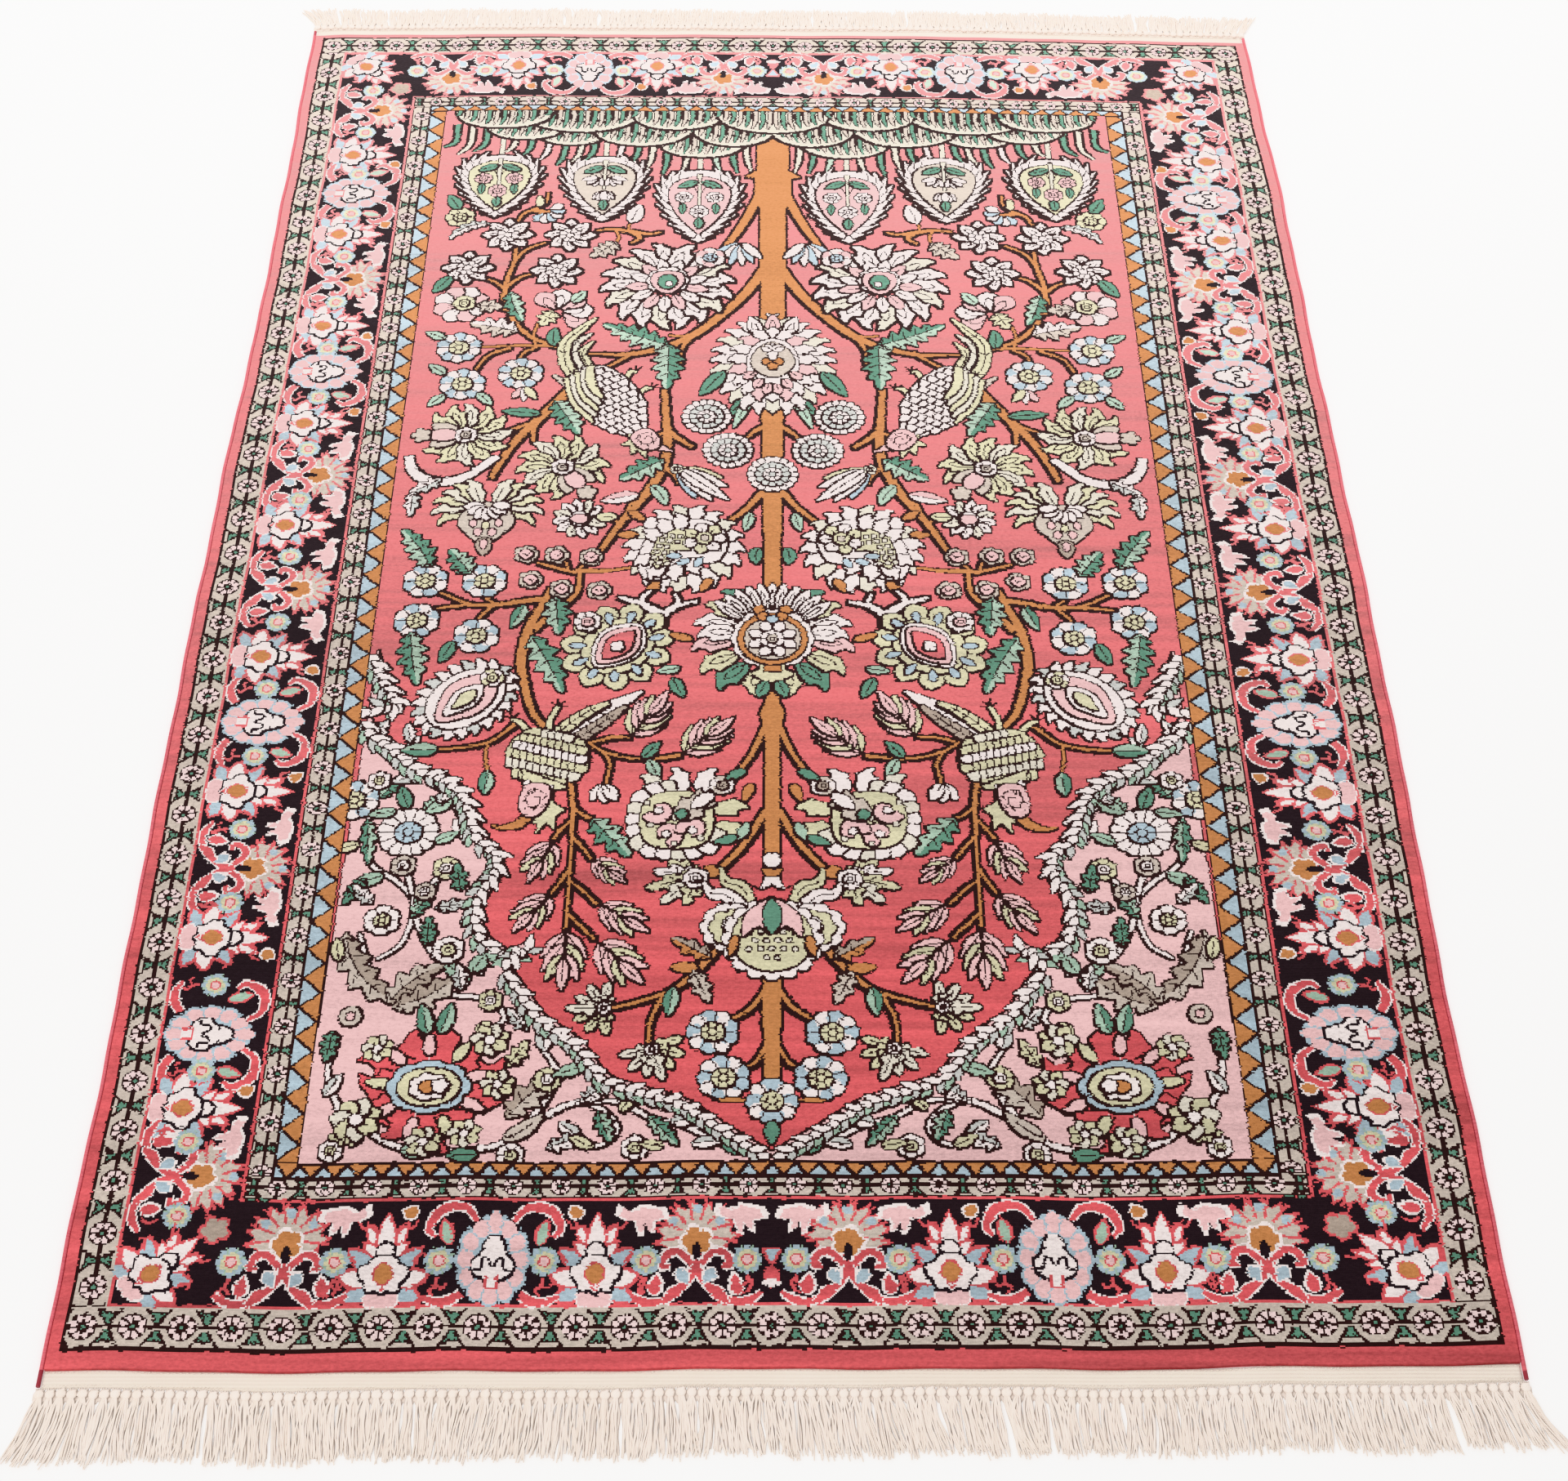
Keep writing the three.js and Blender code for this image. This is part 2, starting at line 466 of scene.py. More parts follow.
bands = {   # where each band ends, in mm from the pile's edge
    "side": {"plain": 12.5, "guard": 41.5, "main": 140.0, "inner": 167.0, "teeth": 186.0},
    "near": {"plain": 20.0, "guard": 56.0, "main": 160.0, "inner": 185.5, "teeth": 200.0},
    "far": {"plain": 10.6, "guard": 41.0, "main": 138.0, "inner": 161.0, "teeth": 171.0},
}
redLine = 3.6   # mm, the red lines at both sides of the main border
guards = {
    "pitch": {"side": 52.0, "near": 41.4, "far": 41.4},         # from rosette to rosette, in mm
    "outerFirst": {"side": 24, "near": 0, "far": 0},            # and to the first one
    "innerFirst": {"side": 40, "near": 20, "far": 20},
    "filled": {"narrow": 0.84, "broad": 0.69},                  # the share that its rosettes take up
    "broadFrom": 30,
    "tooth": {"side": 33.0, "near": 20.5, "far": 22.0},
}
mainRun = {     # the flowers along the main border, in mm
    "drawnDepth": 95.0,                     # the depth of band that they are drawn for
    "inset": 3.5,
    "sideOrder": "XFOFXFOFXFXFOFXFOFX",
    "sidePlaces": [185, 255, 335, 445, 528, 625, 717, 807, 905, 1002, 1081, 1166, 1255, 1336, 1421, 1507,
                   1588, 1666, 1760],       # from the near end
    "sideRosettes": [145, 1804],
    "endOrder": "XFOFX",
    "endPlaces": [65, 151.5, 240, 333, 418.5],      # from the middle
    "endRosettes": [21, 464.5],
    "cornerInset": 12,
    "cornerBlossoms": [-482 + 132j, -482 + 1808j],
}
halfWidth = knots["across"] * knots["width"] / 2
length = knots["along"] * knots["height"]


def smallRosette(spot):
    spot.fill(lobed(14, 8, 0.24), "sky", None)
    for out in toward(np.arange(22.5, 360, 45)):
        spot.line([8 * out, 13 * out], "sage")
    spot.fill(lobed(9.6, 8, 0.2), "khaki", None)
    spot.fill(circle(5.6), "ruby", None)
    spot.fill(circle(4.0), "blush", None)


def edged(spot, points, widths):
    # a red scroll with a pale edge
    spot.fill(ribbon(points, [width + 3 for width in widths]), "ivory", None)
    spot.fill(ribbon(points, widths), "ruby", None)


def fanAndScroll(spot):
    # a fan palmette over two scrolls that cross
    spikes = spiked(40, 15, 0.3, 62j, 0.86, 12)
    spot.fill(np.where(spikes.imag < 52, spikes.real * 0.75 + 1j * np.maximum(spikes.imag, 44), spikes),
              "ruby", None)
    fan = spiked(34, 15, 0.2, 62j, 0.86, 12)
    spot.fill(np.where(fan.imag < 52, fan.real * 0.7 + 1j * np.maximum(fan.imag, 47), fan), "beige", None)
    for way in (-24, 0, 24):
        spot.fill(circle(4.2, 62j + 24 * toward(90 + 2.4 * way)), "sky", None)
    for way in range(-98, 99, 28):
        out = toward(90 + way)
        spot.fill(ribbon([62j + 14 * out, 62j + 36 * out], [2.4, 2.4]), "ruby", None)
    spot.fill(lobed(16, 5, 0.25, 57j), "ivory", None)
    spot.fill(lobed(13, 5, 0.25, 57j), "ochre", None)
    spot.fill(oval(4, 8, 48j), "night", None)
    for mirror in bothSides(spot):
        edged(mirror, [0.5 + 30j, 7 + 40j, 17 + 48j, 26 + 45j, 29 + 36j, 22 + 34j],
              [6, 5.5, 6, 6.5, 6, 3])
        edged(mirror, [0.5 + 36j, 4 + 26j, 11 + 17j, 20 + 11j, 27 + 3j], [6, 6, 6, 10, 4])
        mirror.fill(petal(19, 14, 0.6, 58, 6 + 18j), "ivory", None)
        mirror.fill(petal(16, 10, 0.6, 58, 7 + 19j), "sky", None)
    spot.fill(oval(3, 7, 33j), "ruby", None)


def compositeFlower(spot):
    # a many-petalled flower that stands on three pink lobes
    for mirror in bothSides(spot):
        for long, widest, way, rimBase, base, dye in (
                (33, 0.45, -24, 6 + 19j, 6 + 19j, "sky"), (39, 0.6, 10, 2 + 22j, 2 + 22j, "ivory"),
                (43, 0.5, 40, 26j, 1 + 26j, "sky")):
            mirror.fill(petal(long, 19, widest, way, rimBase), "ruby", None)
            mirror.fill(petal(long - 4, 14, widest, way, base), dye, None)
        for way, long in ((64, 37), (40, 24)):
            mirror.fill(petal(long, 12, 0.45, way, 3 + 44j, 1.1), "ruby", None)
            mirror.fill(petal(long - 4, 8, 0.45, way, 3 + 44j, 1.1), "ivory", None)
        mirror.fill(ribbon([4 + 60j, 12 + 72j, 21 + 70j, 26 + 78j], [2, 3, 3, 2]), "ruby", None)
        mirror.fill(ribbon([24 + 40j, 32 + 48j, 36 + 44j], [2, 3, 2]), "ruby", None)
    spot.fill(petal(46, 20, 0.4, 90, 40j, 1.0), "ruby", None)
    spot.fill(petal(43, 15, 0.4, 90, 40j, 1.0), "ivory", None)
    for beside, middle, dye in ((8.5, 7.5, "ivory"), (7, 7, "blush")):
        for centre, radius in ((-7.5 + 8j, beside), (7.5 + 8j, beside), (6j, middle)):
            spot.fill(circle(radius, centre), dye, None)
    spot.fill(petal(18, 15, 0.5, 90, 40j), "ivory", "night")
    spot.fill(twoSided([46j, -9 + 44j, -13 + 38j, -20 + 36j, -20 + 28j, -15 + 23j, -12 + 15j, -4 + 16j,
                        13j]), "ivory", "night")
    spot.fill(lobed(9.5, 4, 0.12, 30j, 1.15), "ruby", None)
    spot.fill(lobed(8, 4, 0.12, 30j, 1.15), "ochre", None)
    spot.fill([-5 + 20j, 14j, 5 + 20j, 17j], "ruby", None)


def ovalPalmette(spot):
    outer = lobed(33, 12, 0.12, 42j, 1.27)
    outer = np.where(outer.imag > 72, outer.real * 0.62 + 1j * (outer.imag * 1.06 - 3), outer)
    spot.fill(outer, "sky", None)
    for out in toward(np.arange(90, 450, 30)):
        spot.fill(oval(7.2, 8.2, 42j + out.real * 23 + 1j * out.imag * 31), "blush", None)
    spot.fill(petal(20, 12, 0.5, 90, 66j), "blush", None)
    for out in toward(np.arange(105, 450, 30)):
        spot.line([42j + out.real * 18 + 1j * out.imag * 24, 42j + out.real * 32 + 1j * out.imag * 40],
                  "sky")
    heart = ring([-4 + 24j, -15 + 30j, -17 + 40j, -11 + 46j, -8 + 56j, -4 + 62j, 63j, 4 + 62j, 8 + 56j,
                  11 + 46j, 17 + 40j, 15 + 30j, 4 + 24j])
    spot.fill(heart, "ivory", "night")
    for mirror in bothSides(spot):
        mirror.fill(ribbon([16 + 33j, 10 + 34j, 9 + 42j, 4 + 42j, 1 + 35j], [2.6] * 5), "night", None)
        mirror.fill(ribbon([11 + 50j, 6 + 52j], [2.4, 1.6]), "night", None)
    spot.fill([-6.5 + 16j, -6.5 + 28j, 6.5 + 28j, 6.5 + 16j], "ruby", None)
    spot.fill([-4 + 17j, -4 + 27j, 4 + 27j, 4 + 17j], "ivory", None)


def jaggedLeaf(spot):
    # a pale leaf with three long teeth, lying along the border's inner side
    outline = [-24 + 78j, -20 + 88j, -10 + 90j, 2 + 91j, 12 + 86j, 22 + 92j, 25 + 82j, 14 + 76j, 8 + 77j,
               4 + 64j, -1 + 62j, -2 + 74j, -7 + 66j, -12 + 64j, -11 + 75j]
    spot.fill(outline, "ivory", None)
    centre = np.mean(outline)
    spot.fill(centre + (np.array(outline) - centre) * 0.78, "blush", None)


def bud(spot):
    spot.fill(petal(19, 17, 0.4, 90, -2j), "ivory", None)
    spot.fill(petal(15, 13, 0.4), "ochre", None)


def guardBand(spot, long, deep, pitch, first):
    # beige with a stem along its middle, rosettes on it and green ties between them
    spot.fill([0, long, long + 1j * deep, 1j * deep], "beige")
    middle = 1j * deep / 2
    spot.fill(np.array([-1.9j, long - 1.9j, long + 1.9j, 1.9j]) + middle, "black", None)
    scale = deep / 32
    filled = guards["filled"]["broad" if deep > guards["broadFrom"] else "narrow"]
    for i in range(-1, int((long - first) / pitch) + 2):
        rosette = Spot(spot, first + i * pitch + middle, size=filled * deep / 22)
        tie = Spot(spot, first + (i + 0.5) * pitch + middle, size=min(scale, pitch / 44), tall=scale)
        for side in (-1, 1):
            way = Spot(tie, tall=side)
            way.fill(mirrored([-1.5 + 3j, -7 + 12.5j, -2 + 9.5j, 12j]), "teal")
            for stroke in ([-11 + 15j, -3 + 6j], [3 + 6j, 11 + 15j]):
                way.line(stroke)
                way.line(np.array(stroke) + 1.2)
        rosette.fill(circle(11), "black", None)
        for turn in range(0, 360, 45):
            out = toward(turn + 22.5)
            rosette.fill(petal(6.8, 4.9, 0.62, turn + 22.5, 3.4 * out), "shell", None)
        rosette.fill(circle(1.6, sides=8), "teal", None)


def teethBand(spot, long, deep, pitch):
    # two colours that bite into each other
    spot.fill([0, long, long + 1j * deep, 1j * deep], "sky", None)
    count = max(1, round(long / pitch))
    step = long / count
    for i in range(count):
        tooth = i * step
        spot.fill([tooth + 1j * deep, tooth + step / 2 + 1j * deep * 0.06, tooth + step + 1j * deep],
                  "ochre")
    spot.line([1j * deep, long + 1j * deep])


def rosetteOnStem(spot, place, tall):
    here = Spot(spot, place, size=0.95, tall=tall * 0.95)
    smallRosette(Spot(here, 43j))
    here.fill(ribbon([28j, 1 + 21j, 6 + 16j, 2 + 11j], [3, 3, 3, 2]), "ruby", None)
    return here


def mainBand(spot, order, places, tall):
    # the run of large flowers on black: X a fan palmette, F a composite flower, O an oval palmette
    for i, (kind, place) in enumerate(zip(order, places)):
        here = Spot(spot, place, tall=tall)
        for beside in bothSides(here):
            if kind == "X":
                edged(beside, [24 + 7j, 34 + 4j, 45 + 5j, 57 + 12j], [5, 6, 7, 3])
                beside.fill(petal(22, 15, 0.4, 100, 36 + 9j), "ivory", None)
                beside.fill(petal(18, 10, 0.4, 100, 36 + 10j), "ruby", None)
                beside.fill(ribbon([44 + 12j, 48 + 20j, 44 + 27j], [3, 3, 2]), "ruby", None)
            if kind == "O":
                edged(beside, [25 + 12j, 35 + 6j, 46 + 5j, 59 + 10j], [7, 8, 7, 3])
                edged(beside, [16 + 76j, 25 + 87j, 39 + 89j, 50 + 84j, 57 + 70j, 51 + 62j],
                      [4, 6, 8, 9, 6, 3])
                beside.fill(petal(26, 14, 0.45, 74, 38 + 54j), "ruby", None)
                beside.fill(petal(22, 9, 0.45, 74, 38.5 + 55j), "sage", None)
        {"X": fanAndScroll, "F": compositeFlower, "O": ovalPalmette}[kind](here)
    for i in range(len(order) - 1):
        middle = (places[i] + places[i + 1]) / 2
        between = rosetteOnStem(spot, middle, tall)
        between.fill(ribbon([20j, -6 + 18j, -9 + 22j], [2, 3, 2]), "ruby", None)
        if "X" in order[i:i + 2]:
            first = order[i] == "X"
            jaggedLeaf(Spot(spot, middle + (4 if first else -4), tall=tall, flip=not first))
    for i, place in enumerate(places):
        for side in (-1, 1):
            if order[i] == "F" and order[i + side] == "O":
                bud(Spot(spot, place + 15 * side + 80j * tall, turn=-40 * side, size=0.9))


def strips(chart, level, more=0.0):
    # the left side and the left half of each end, from this level on; x runs along the strip, y inwards
    inset, low = bands["side"][level] + more, bands["near"][level] + more
    high = length - bands["far"][level] - more
    return (("side", Spot(chart, -halfWidth + inset + 1j * high, turn=-90), high - low),
            ("near", Spot(chart, 1j * low, flip=True), halfWidth - inset),
            ("far", Spot(chart, 1j * high, flip=True, tall=-1), halfWidth - inset))


def drawBorders(chart):
    side, near, far = bands["side"], bands["near"], bands["far"]

    def frame(level, dye, edge, more=0.0):
        inset, low, high = side[level] + more, near[level] + more, far[level] + more
        chart.fill([-halfWidth + inset + 1j * low, halfWidth + 1j * low, halfWidth + 1j * (length - high),
                    -halfWidth + inset + 1j * (length - high)], dye, edge)

    def within(level):
        # drawing shows only inside this band's outer edge
        chart.window = (round(near[level] / knots["height"]),
                        round((length - far[level]) / knots["height"]),
                        round(side[level] / knots["width"]))

    # the outer guard; outside it the ground stays plain rose
    chart.bold = 3
    frame("plain", "beige", "black")
    chart.bold = 1
    within("plain")
    for name, strip, long in strips(chart, "plain"):
        band = bands[name]
        guardBand(strip, long, band["guard"] - band["plain"], guards["pitch"][name],
                  guards["outerFirst"][name])
    # the black main border between its two red lines
    within("guard")
    frame("guard", "ruby", "black")
    frame("guard", "night", None, redLine)
    chart.bold = 2
    start = side["guard"] + mainRun["inset"]
    down = Spot(chart, -halfWidth + start + 1j * length, turn=-90)
    fromFar = [length - place for place in reversed(mainRun["sidePlaces"])]
    mainBand(down, mainRun["sideOrder"], fromFar, (side["main"] - start) / mainRun["drawnDepth"])
    for base, deep in (
            (near["guard"], near["main"] - near["guard"]),
            (length - far["guard"], far["guard"] - far["main"])):
        run, tall = Spot(chart, 1j * base, flip=True), deep / mainRun["drawnDepth"]
        mainBand(run, mainRun["endOrder"], mainRun["endPlaces"], tall)
        for place in mainRun["endRosettes"]:
            rosetteOnStem(run, place, tall)
        jaggedLeaf(Spot(run, 26, tall=tall))
        middle = Spot(run, tall=tall)
        middle.fill(petal(22, 14, 0.5, 90, 14j), "ruby", None)
        middle.fill(oval(9, 3.5, 20j), "ivory", None)
        middle.fill([-7 + 50j, 7 + 50j, 38j], "sky", "ruby")
    # the side's last rosettes, the corner flowers and a small one beside each
    for place in mainRun["sideRosettes"]:
        smallRosette(Spot(down, length - place + 43j, size=0.95))
    inset = mainRun["cornerInset"]
    for y, turn in ((near["guard"] + inset, -45), (length - far["guard"] - inset, -135)):
        compositeFlower(Spot(chart, -halfWidth + side["guard"] + inset + 1j * y, turn=turn, size=0.95))
    for place in mainRun["cornerBlossoms"]:
        for radius, dye in ((15, "ruby"), (12, "taupe")):
            Spot(chart, place, turn=45).fill(lobed(radius, 5, 0.3), dye, None)
    # the inner guard and the toothed band
    chart.bold = 1
    within("main")
    frame("main", "ruby", None)
    for name, strip, long in strips(chart, "main", redLine):
        band = bands[name]
        guardBand(strip, long, band["inner"] - band["main"] - redLine, guards["pitch"][name],
                  guards["innerFirst"][name])
    chart.bold = 3
    frame("inner", "sky", "black")
    chart.bold = 2
    within("inner")
    for name, strip, long in strips(chart, "inner"):
        teethBand(strip, long, bands[name]["teeth"] - bands[name]["inner"], guards["tooth"][name])
    frame("teeth", "rose", "black")
    within("teeth")


# The field's flowers, leaves and birds.

def branches(chart, runs, dye="ochre"):
    # the widths are given over the black edges, which all come first, so that forks join
    outlines = [ribbon(atPoints(points), np.maximum(np.subtract(widths, 3.4), 2.8)) for points,
                widths in runs]
    usual, chart.bold = chart.bold, 3
    for outline in outlines:
        chart.fill(outline, dye)
    chart.bold = usual
    for outline in outlines:
        chart.fill(outline, dye, None)


def leaf(chart, at, turn, long, wide, dye, second=None, curl=0, teeth=0, rib=True):
    # the second dye takes the half to the left of the midrib
    here = Spot(chart, complex(*at), turn)
    outline, middle = leafOutline(long, wide, curl, teeth)
    here.fill(outline, dye)
    if second:
        here.fill(np.concatenate([outline[:len(middle)], middle[::-1]]), second, None)
    if rib:
        here.line(middle[1:int(len(middle) * 0.8)])
    for i in range(1, teeth):
        for tip in (outline[4 * i - 1], outline[1 - 4 * i]):
            here.line([middle[4 * i - 3], middle[4 * i - 3] + 0.62 * (tip - middle[4 * i - 3])])


def leaves(chart, rows):
    # each row is a leaf's x and y, the way it points, its length, width and dye, and what else leaf takes
    for x, y, *rest in rows:
        leaf(chart, (x, y), *rest)


def flame(long, wide, hook):
    # a petal with thorned sides and a hooked tip
    shape = np.array([0.14j, 0.2 + 0.42j, 0.42 + 0.5j, 0.6 + 0.62j, 0.66 + 0.36j, 0.84 + 0.3j, 1 + 0.46j,
                      0.95 + 0.06j, 0.82 - 0.18j, 0.7 - 0.52j, 0.56 - 0.42j, 0.26 - 0.5j, -0.14j])
    return long * shape.real + 1j * wide * hook * shape.imag


def petalRow(spot, count, inner, long, wide, petalDyes, start, sweep=360, vein=0.5, kind="flame",
             widest=0.5):
    # petals set round a heart, in turn from the given dyes
    for i in range(count):
        way = start + sweep * (i / count if sweep == 360 else i / max(count - 1, 1))
        here = Spot(spot, inner * toward(way), turn=way)
        if kind == "flame":
            here.fill(flame(long, wide, 1 if 90 < way % 360 < 270 else -1), petalDyes[i % len(petalDyes)])
        else:
            here.fill(petal(long, wide, widest, 0), petalDyes[i % len(petalDyes)])
        if long > 30:
            here.line(petal(long * 0.72, wide * 0.42, 0.6, 0))
        elif vein:
            here.line([0, long * vein])


def rosette(chart, at, radius, count, petalDyes, heart):
    # round petals, with a heart of small beads
    here = Spot(chart, complex(*at))
    bead = radius * np.sin(np.pi / count) * 1.02
    ring = radius - bead
    ways = [np.exp(2j * np.pi * (i + 0.5) / count) for i in range(count)]
    for out in ways:
        here.fill(circle(bead, ring * out, 12), "black")
    for i, out in enumerate(ways):
        near = [ring * 0.4 * out * np.exp(0.7j), ring * 0.4 * out * np.exp(-0.7j)]
        here.fill(np.concatenate([near, (ring + bead * np.exp(1j * np.linspace(-1.7, 1.7, 7))) * out]),
                  petalDyes[i % len(petalDyes)], None)
    for i in range(count):
        out = np.exp(2j * np.pi * i / count)
        here.line([out * radius * 0.3, out * (ring + bead * 0.5)])
    here.fill(circle(radius * 0.42), heart)
    if radius > 16:
        for i in range(6):
            here.line([0, radius * 0.4 * np.exp(2j * np.pi * i / 6)])
    here.fill(circle(max(radius * 0.15, 1.2), sides=8), heart)


def wheel(chart, at, radius):
    # two rings of narrow petals
    here = Spot(chart, complex(*at))
    for reach, parts, shade in ((1.0, 18, "ivory"), (0.68, 12, "grey"), (0.36, 8, "ivory")):
        here.fill(lobed(radius * reach, parts, 0.09), shade)
        for i in range(parts):
            out = radius * reach * np.exp(2j * np.pi * (i + 0.5) / parts)
            here.line([out * 0.5, out * 0.94])
    here.fill(circle(radius * 0.12, sides=8), "grey")


def starFlower(chart, at, radius):
    here = Spot(chart, complex(*at))
    chart.bold = 3
    petalRow(here, 8, radius * 0.15, radius * 0.85, radius * 0.5, ["ivory"], start=90, vein=0,
             kind="plain", widest=0.42)
    chart.bold = 2
    for i in range(8):
        out = np.exp(2j * np.pi * i / 8 + 0.5j * np.pi)
        for side in (-1, 1):
            here.line([out * radius * 0.45 * np.exp(0.26j * side),
                       out * radius * 0.72 * np.exp(0.07j * side)])
    for i in range(8):
        here.fill(circle(radius * 0.12, radius * 0.3 * np.exp(2j * np.pi * (i + 0.5) / 8), 8), "ivory")
    here.fill(circle(radius * 0.14, sides=8), "ivory")


def pinnate(chart, at, turn, long, leafletDyes, pairs):
    # pointed leaflets in pairs along a rib, and one at its end
    here = Spot(chart, complex(*at), turn)
    here.line([0, long * 0.3])
    for i in range(pairs):
        base = long * (0.08 + 0.5 * i / pairs)
        size = long * (0.5, 0.52, 0.48, 0.42)[i]
        for side in (1, -1):
            way = side * (37 - 5 * i)
            dye = leafletDyes[(i + (side > 0)) % len(leafletDyes)]
            here.fill(petal(size, size * 0.34, 0.42, way, base, 1.15), dye)
            here.line([base, base + size * 0.62 * toward(way)])
    here.fill(petal(long * 0.52, long * 0.15, 0.4, 0, long * 0.5, 1.1), leafletDyes[0])
    here.line([long * 0.1, long * 0.84])


def rimOfLeaves(spot, across, along, count, long, wide, leafDyes, kind="flame"):
    # leaflets that stand round an oval
    for i in range(count):
        way = 2 * np.pi * (i + 0.5) / count
        place = across * np.cos(way) + 1j * along * np.sin(way)
        out = np.cos(way) / across + 1j * np.sin(way) / along
        turn = np.degrees(np.angle(out))
        here = Spot(spot, place - 0.3 * long * out / abs(out), turn=turn)
        if kind == "flame":
            outline = flame(long * 1.3, wide, 1 if out.real < 0 else -1)
        else:
            outline = petal(long * 1.3, wide, 0.55, 0)
        here.fill(outline, leafDyes[i % len(leafDyes)])


def scales(spot, look):
    # rows of feathers over the body, each row over the one below
    long, wide, (step, rise) = look["long"], look["wide"], look["scaleSteps"]
    scale = np.array([-0.5, 0.5, 0.46 - 0.55j, 0.2 - 1j, -0.2 - 1j, -0.46 - 0.55j]) * rise
    for row in range(9, -10, -1):
        for column in range(-6, 7):
            place = (column + 0.5 * (row % 2)) * step + 1j * row * rise
            if abs(place.real / (wide * 0.92) + 1j * (place.imag - long * 0.08) / (long * 1.02)) < 1:
                spot.fill(place + scale, look["scaleDyes"][row % len(look["scaleDyes"])])


def bird(chart, look):
    # its head hangs down; the tail's feathers and the legs are given in the rug's own millimetres
    for outline, widths, dye in look["tail"]:
        points = atPoints(outline)
        chart.fill(ribbon(points, widths), dye)
        middle = smooth(points)
        chart.line(middle[2:-4])
        for i in range(3, len(middle) - 4, look["barbEvery"]):
            ahead = middle[i + 1] - middle[i]
            for side in (-1, 1):
                chart.line([middle[i], middle[i] + 7 * ahead / abs(ahead) * np.exp(0.9j * side)])
    for points in look["legs"]:
        leg = atPoints(points)
        chart.fill(ribbon(leg, (6, 5, 4)), "khaki")
        claw = leg[-1]
        for way in (0, 50, 100, 150):
            for aside in (0, 1.4):
                chart.line([claw + aside, claw + aside + 9 * toward(way)])
    long, wide = look["long"], look["wide"]
    here = Spot(chart, complex(*look["at"]), turn=look["turn"])
    body = ring([-0.55 + 1j, -0.95 + 0.5j, -1 - 0.1j, -0.76 - 0.66j, -0.4 - 1.02j, -0.08 - 1.25j,
                 0.3 - 1.18j, 0.66 - 0.75j, 1 - 0.2j, 0.95 + 0.45j, 0.5 + 1j])
    here.fill(body.real * wide + 1j * body.imag * long, look["scaleDyes"][0])
    scales(here, look)
    # the folded wing's long feathers
    for i in range(look["wingFeathers"]):
        start = (-0.62 + 0.22 * i) * wide + 1j * (0.98 + 0.02 * i) * long
        end = (-0.92 + 0.2 * i) * wide - 1j * (0.42 - 0.13 * i) * long
        here.fill(ribbon([start, (start + end) / 2 - 0.18 * wide, end], [8, 10, 9, 3]),
                  ("khaki", "cream")[i % 2])
    if look["neck"]:
        middle = [0.14 * wide - 0.8j * long, 0.1 * wide - 1.1j * long, 0.12 * wide - 1.4j * long]
        here.fill(ribbon(middle, look["neck"]), "khaki")
        for x, y in ((-0.2, -1.02), (0, -1.06), (0.2, -1.04), (0.38, -1.0), (-0.04, -1.2), (0.2, -1.2)):
            here.fill(petal(8.5, 6.5, 0.5, -90, x * wide + 1j * y * long), "ivory")
    tall = look["headTall"]
    aside = (0.12 * wide - 1.38j * tall * long) * here.spin
    head = Spot(chart, complex(*look["at"]) + aside, turn=look["turn"], tall=tall)
    head.fill(look["crest"], "khaki")
    head.fill(look["beak"], look["beakDye"])
    head.fill(ring([-12 + 12j, -14, -10 - 13j, -19j, 10 - 15j, 14 - 2j, 11 + 13j, 17j]), "blush")
    head.line(smooth([8 + 8j, -3 + 10j, -8, -1 - 9j, 7 - 5j, 5 + 3j, -1 + 1j]))
    for spot in (-9 + 5j, -4 + 5j, 9 + 2j, -9 - 6j, 10 - 8j, 4 - 12j, -4 - 13j):
        head.line([spot, spot + 2 + 4j])


# The field, from the far end to the near one.

def bowls(chart):
    # a canopy of hanging bowls, striped with narrow leaves; the upper ones lie in front
    top = 1757
    # each bowl's middle, half its width, its upper edge and its depth
    rows = [(-90, 60, 1706, 44), (-256, 54, 1731, 44), (-166, 68, 1734, 48), (-50, 54, 1728, 42),
            (-314, 54, 1738, 40), (-246, 76, top, 42), (-121, 60, top, 37), (6, 80, top, 43),
            (-344, 62, top, 34)]
    for middle, half, height, deep in rows:
        t = np.linspace(-1, 1, 19)
        arc = middle + half * t + 1j * (height - deep * np.sqrt(1 - np.abs(t) ** 2.2))
        chart.fill(np.concatenate([arc, [middle + half + 1j * height, middle - half + 1j * height]]),
                   "cream")
        count = max(5, round(2 * half / 9.2))
        for i in range(count):
            share = (i + 0.5) / count * 2 - 1
            x = middle + half * share
            end = height - deep * np.sqrt(1 - abs(share) ** 2.2) + 5
            if end < height - 5:
                run = [x + 1j * (height + 3), x + 1j * (height + end) / 2, x - 4.0 + 1j * end]
                chart.fill(ribbon(run, [8.4, 8.6, 8, 3.0]), "black", None)
                chart.fill(ribbon(run, [4.2, 4.4, 3.8, 1.0]), ("teal", "beige")[i % 2], None)


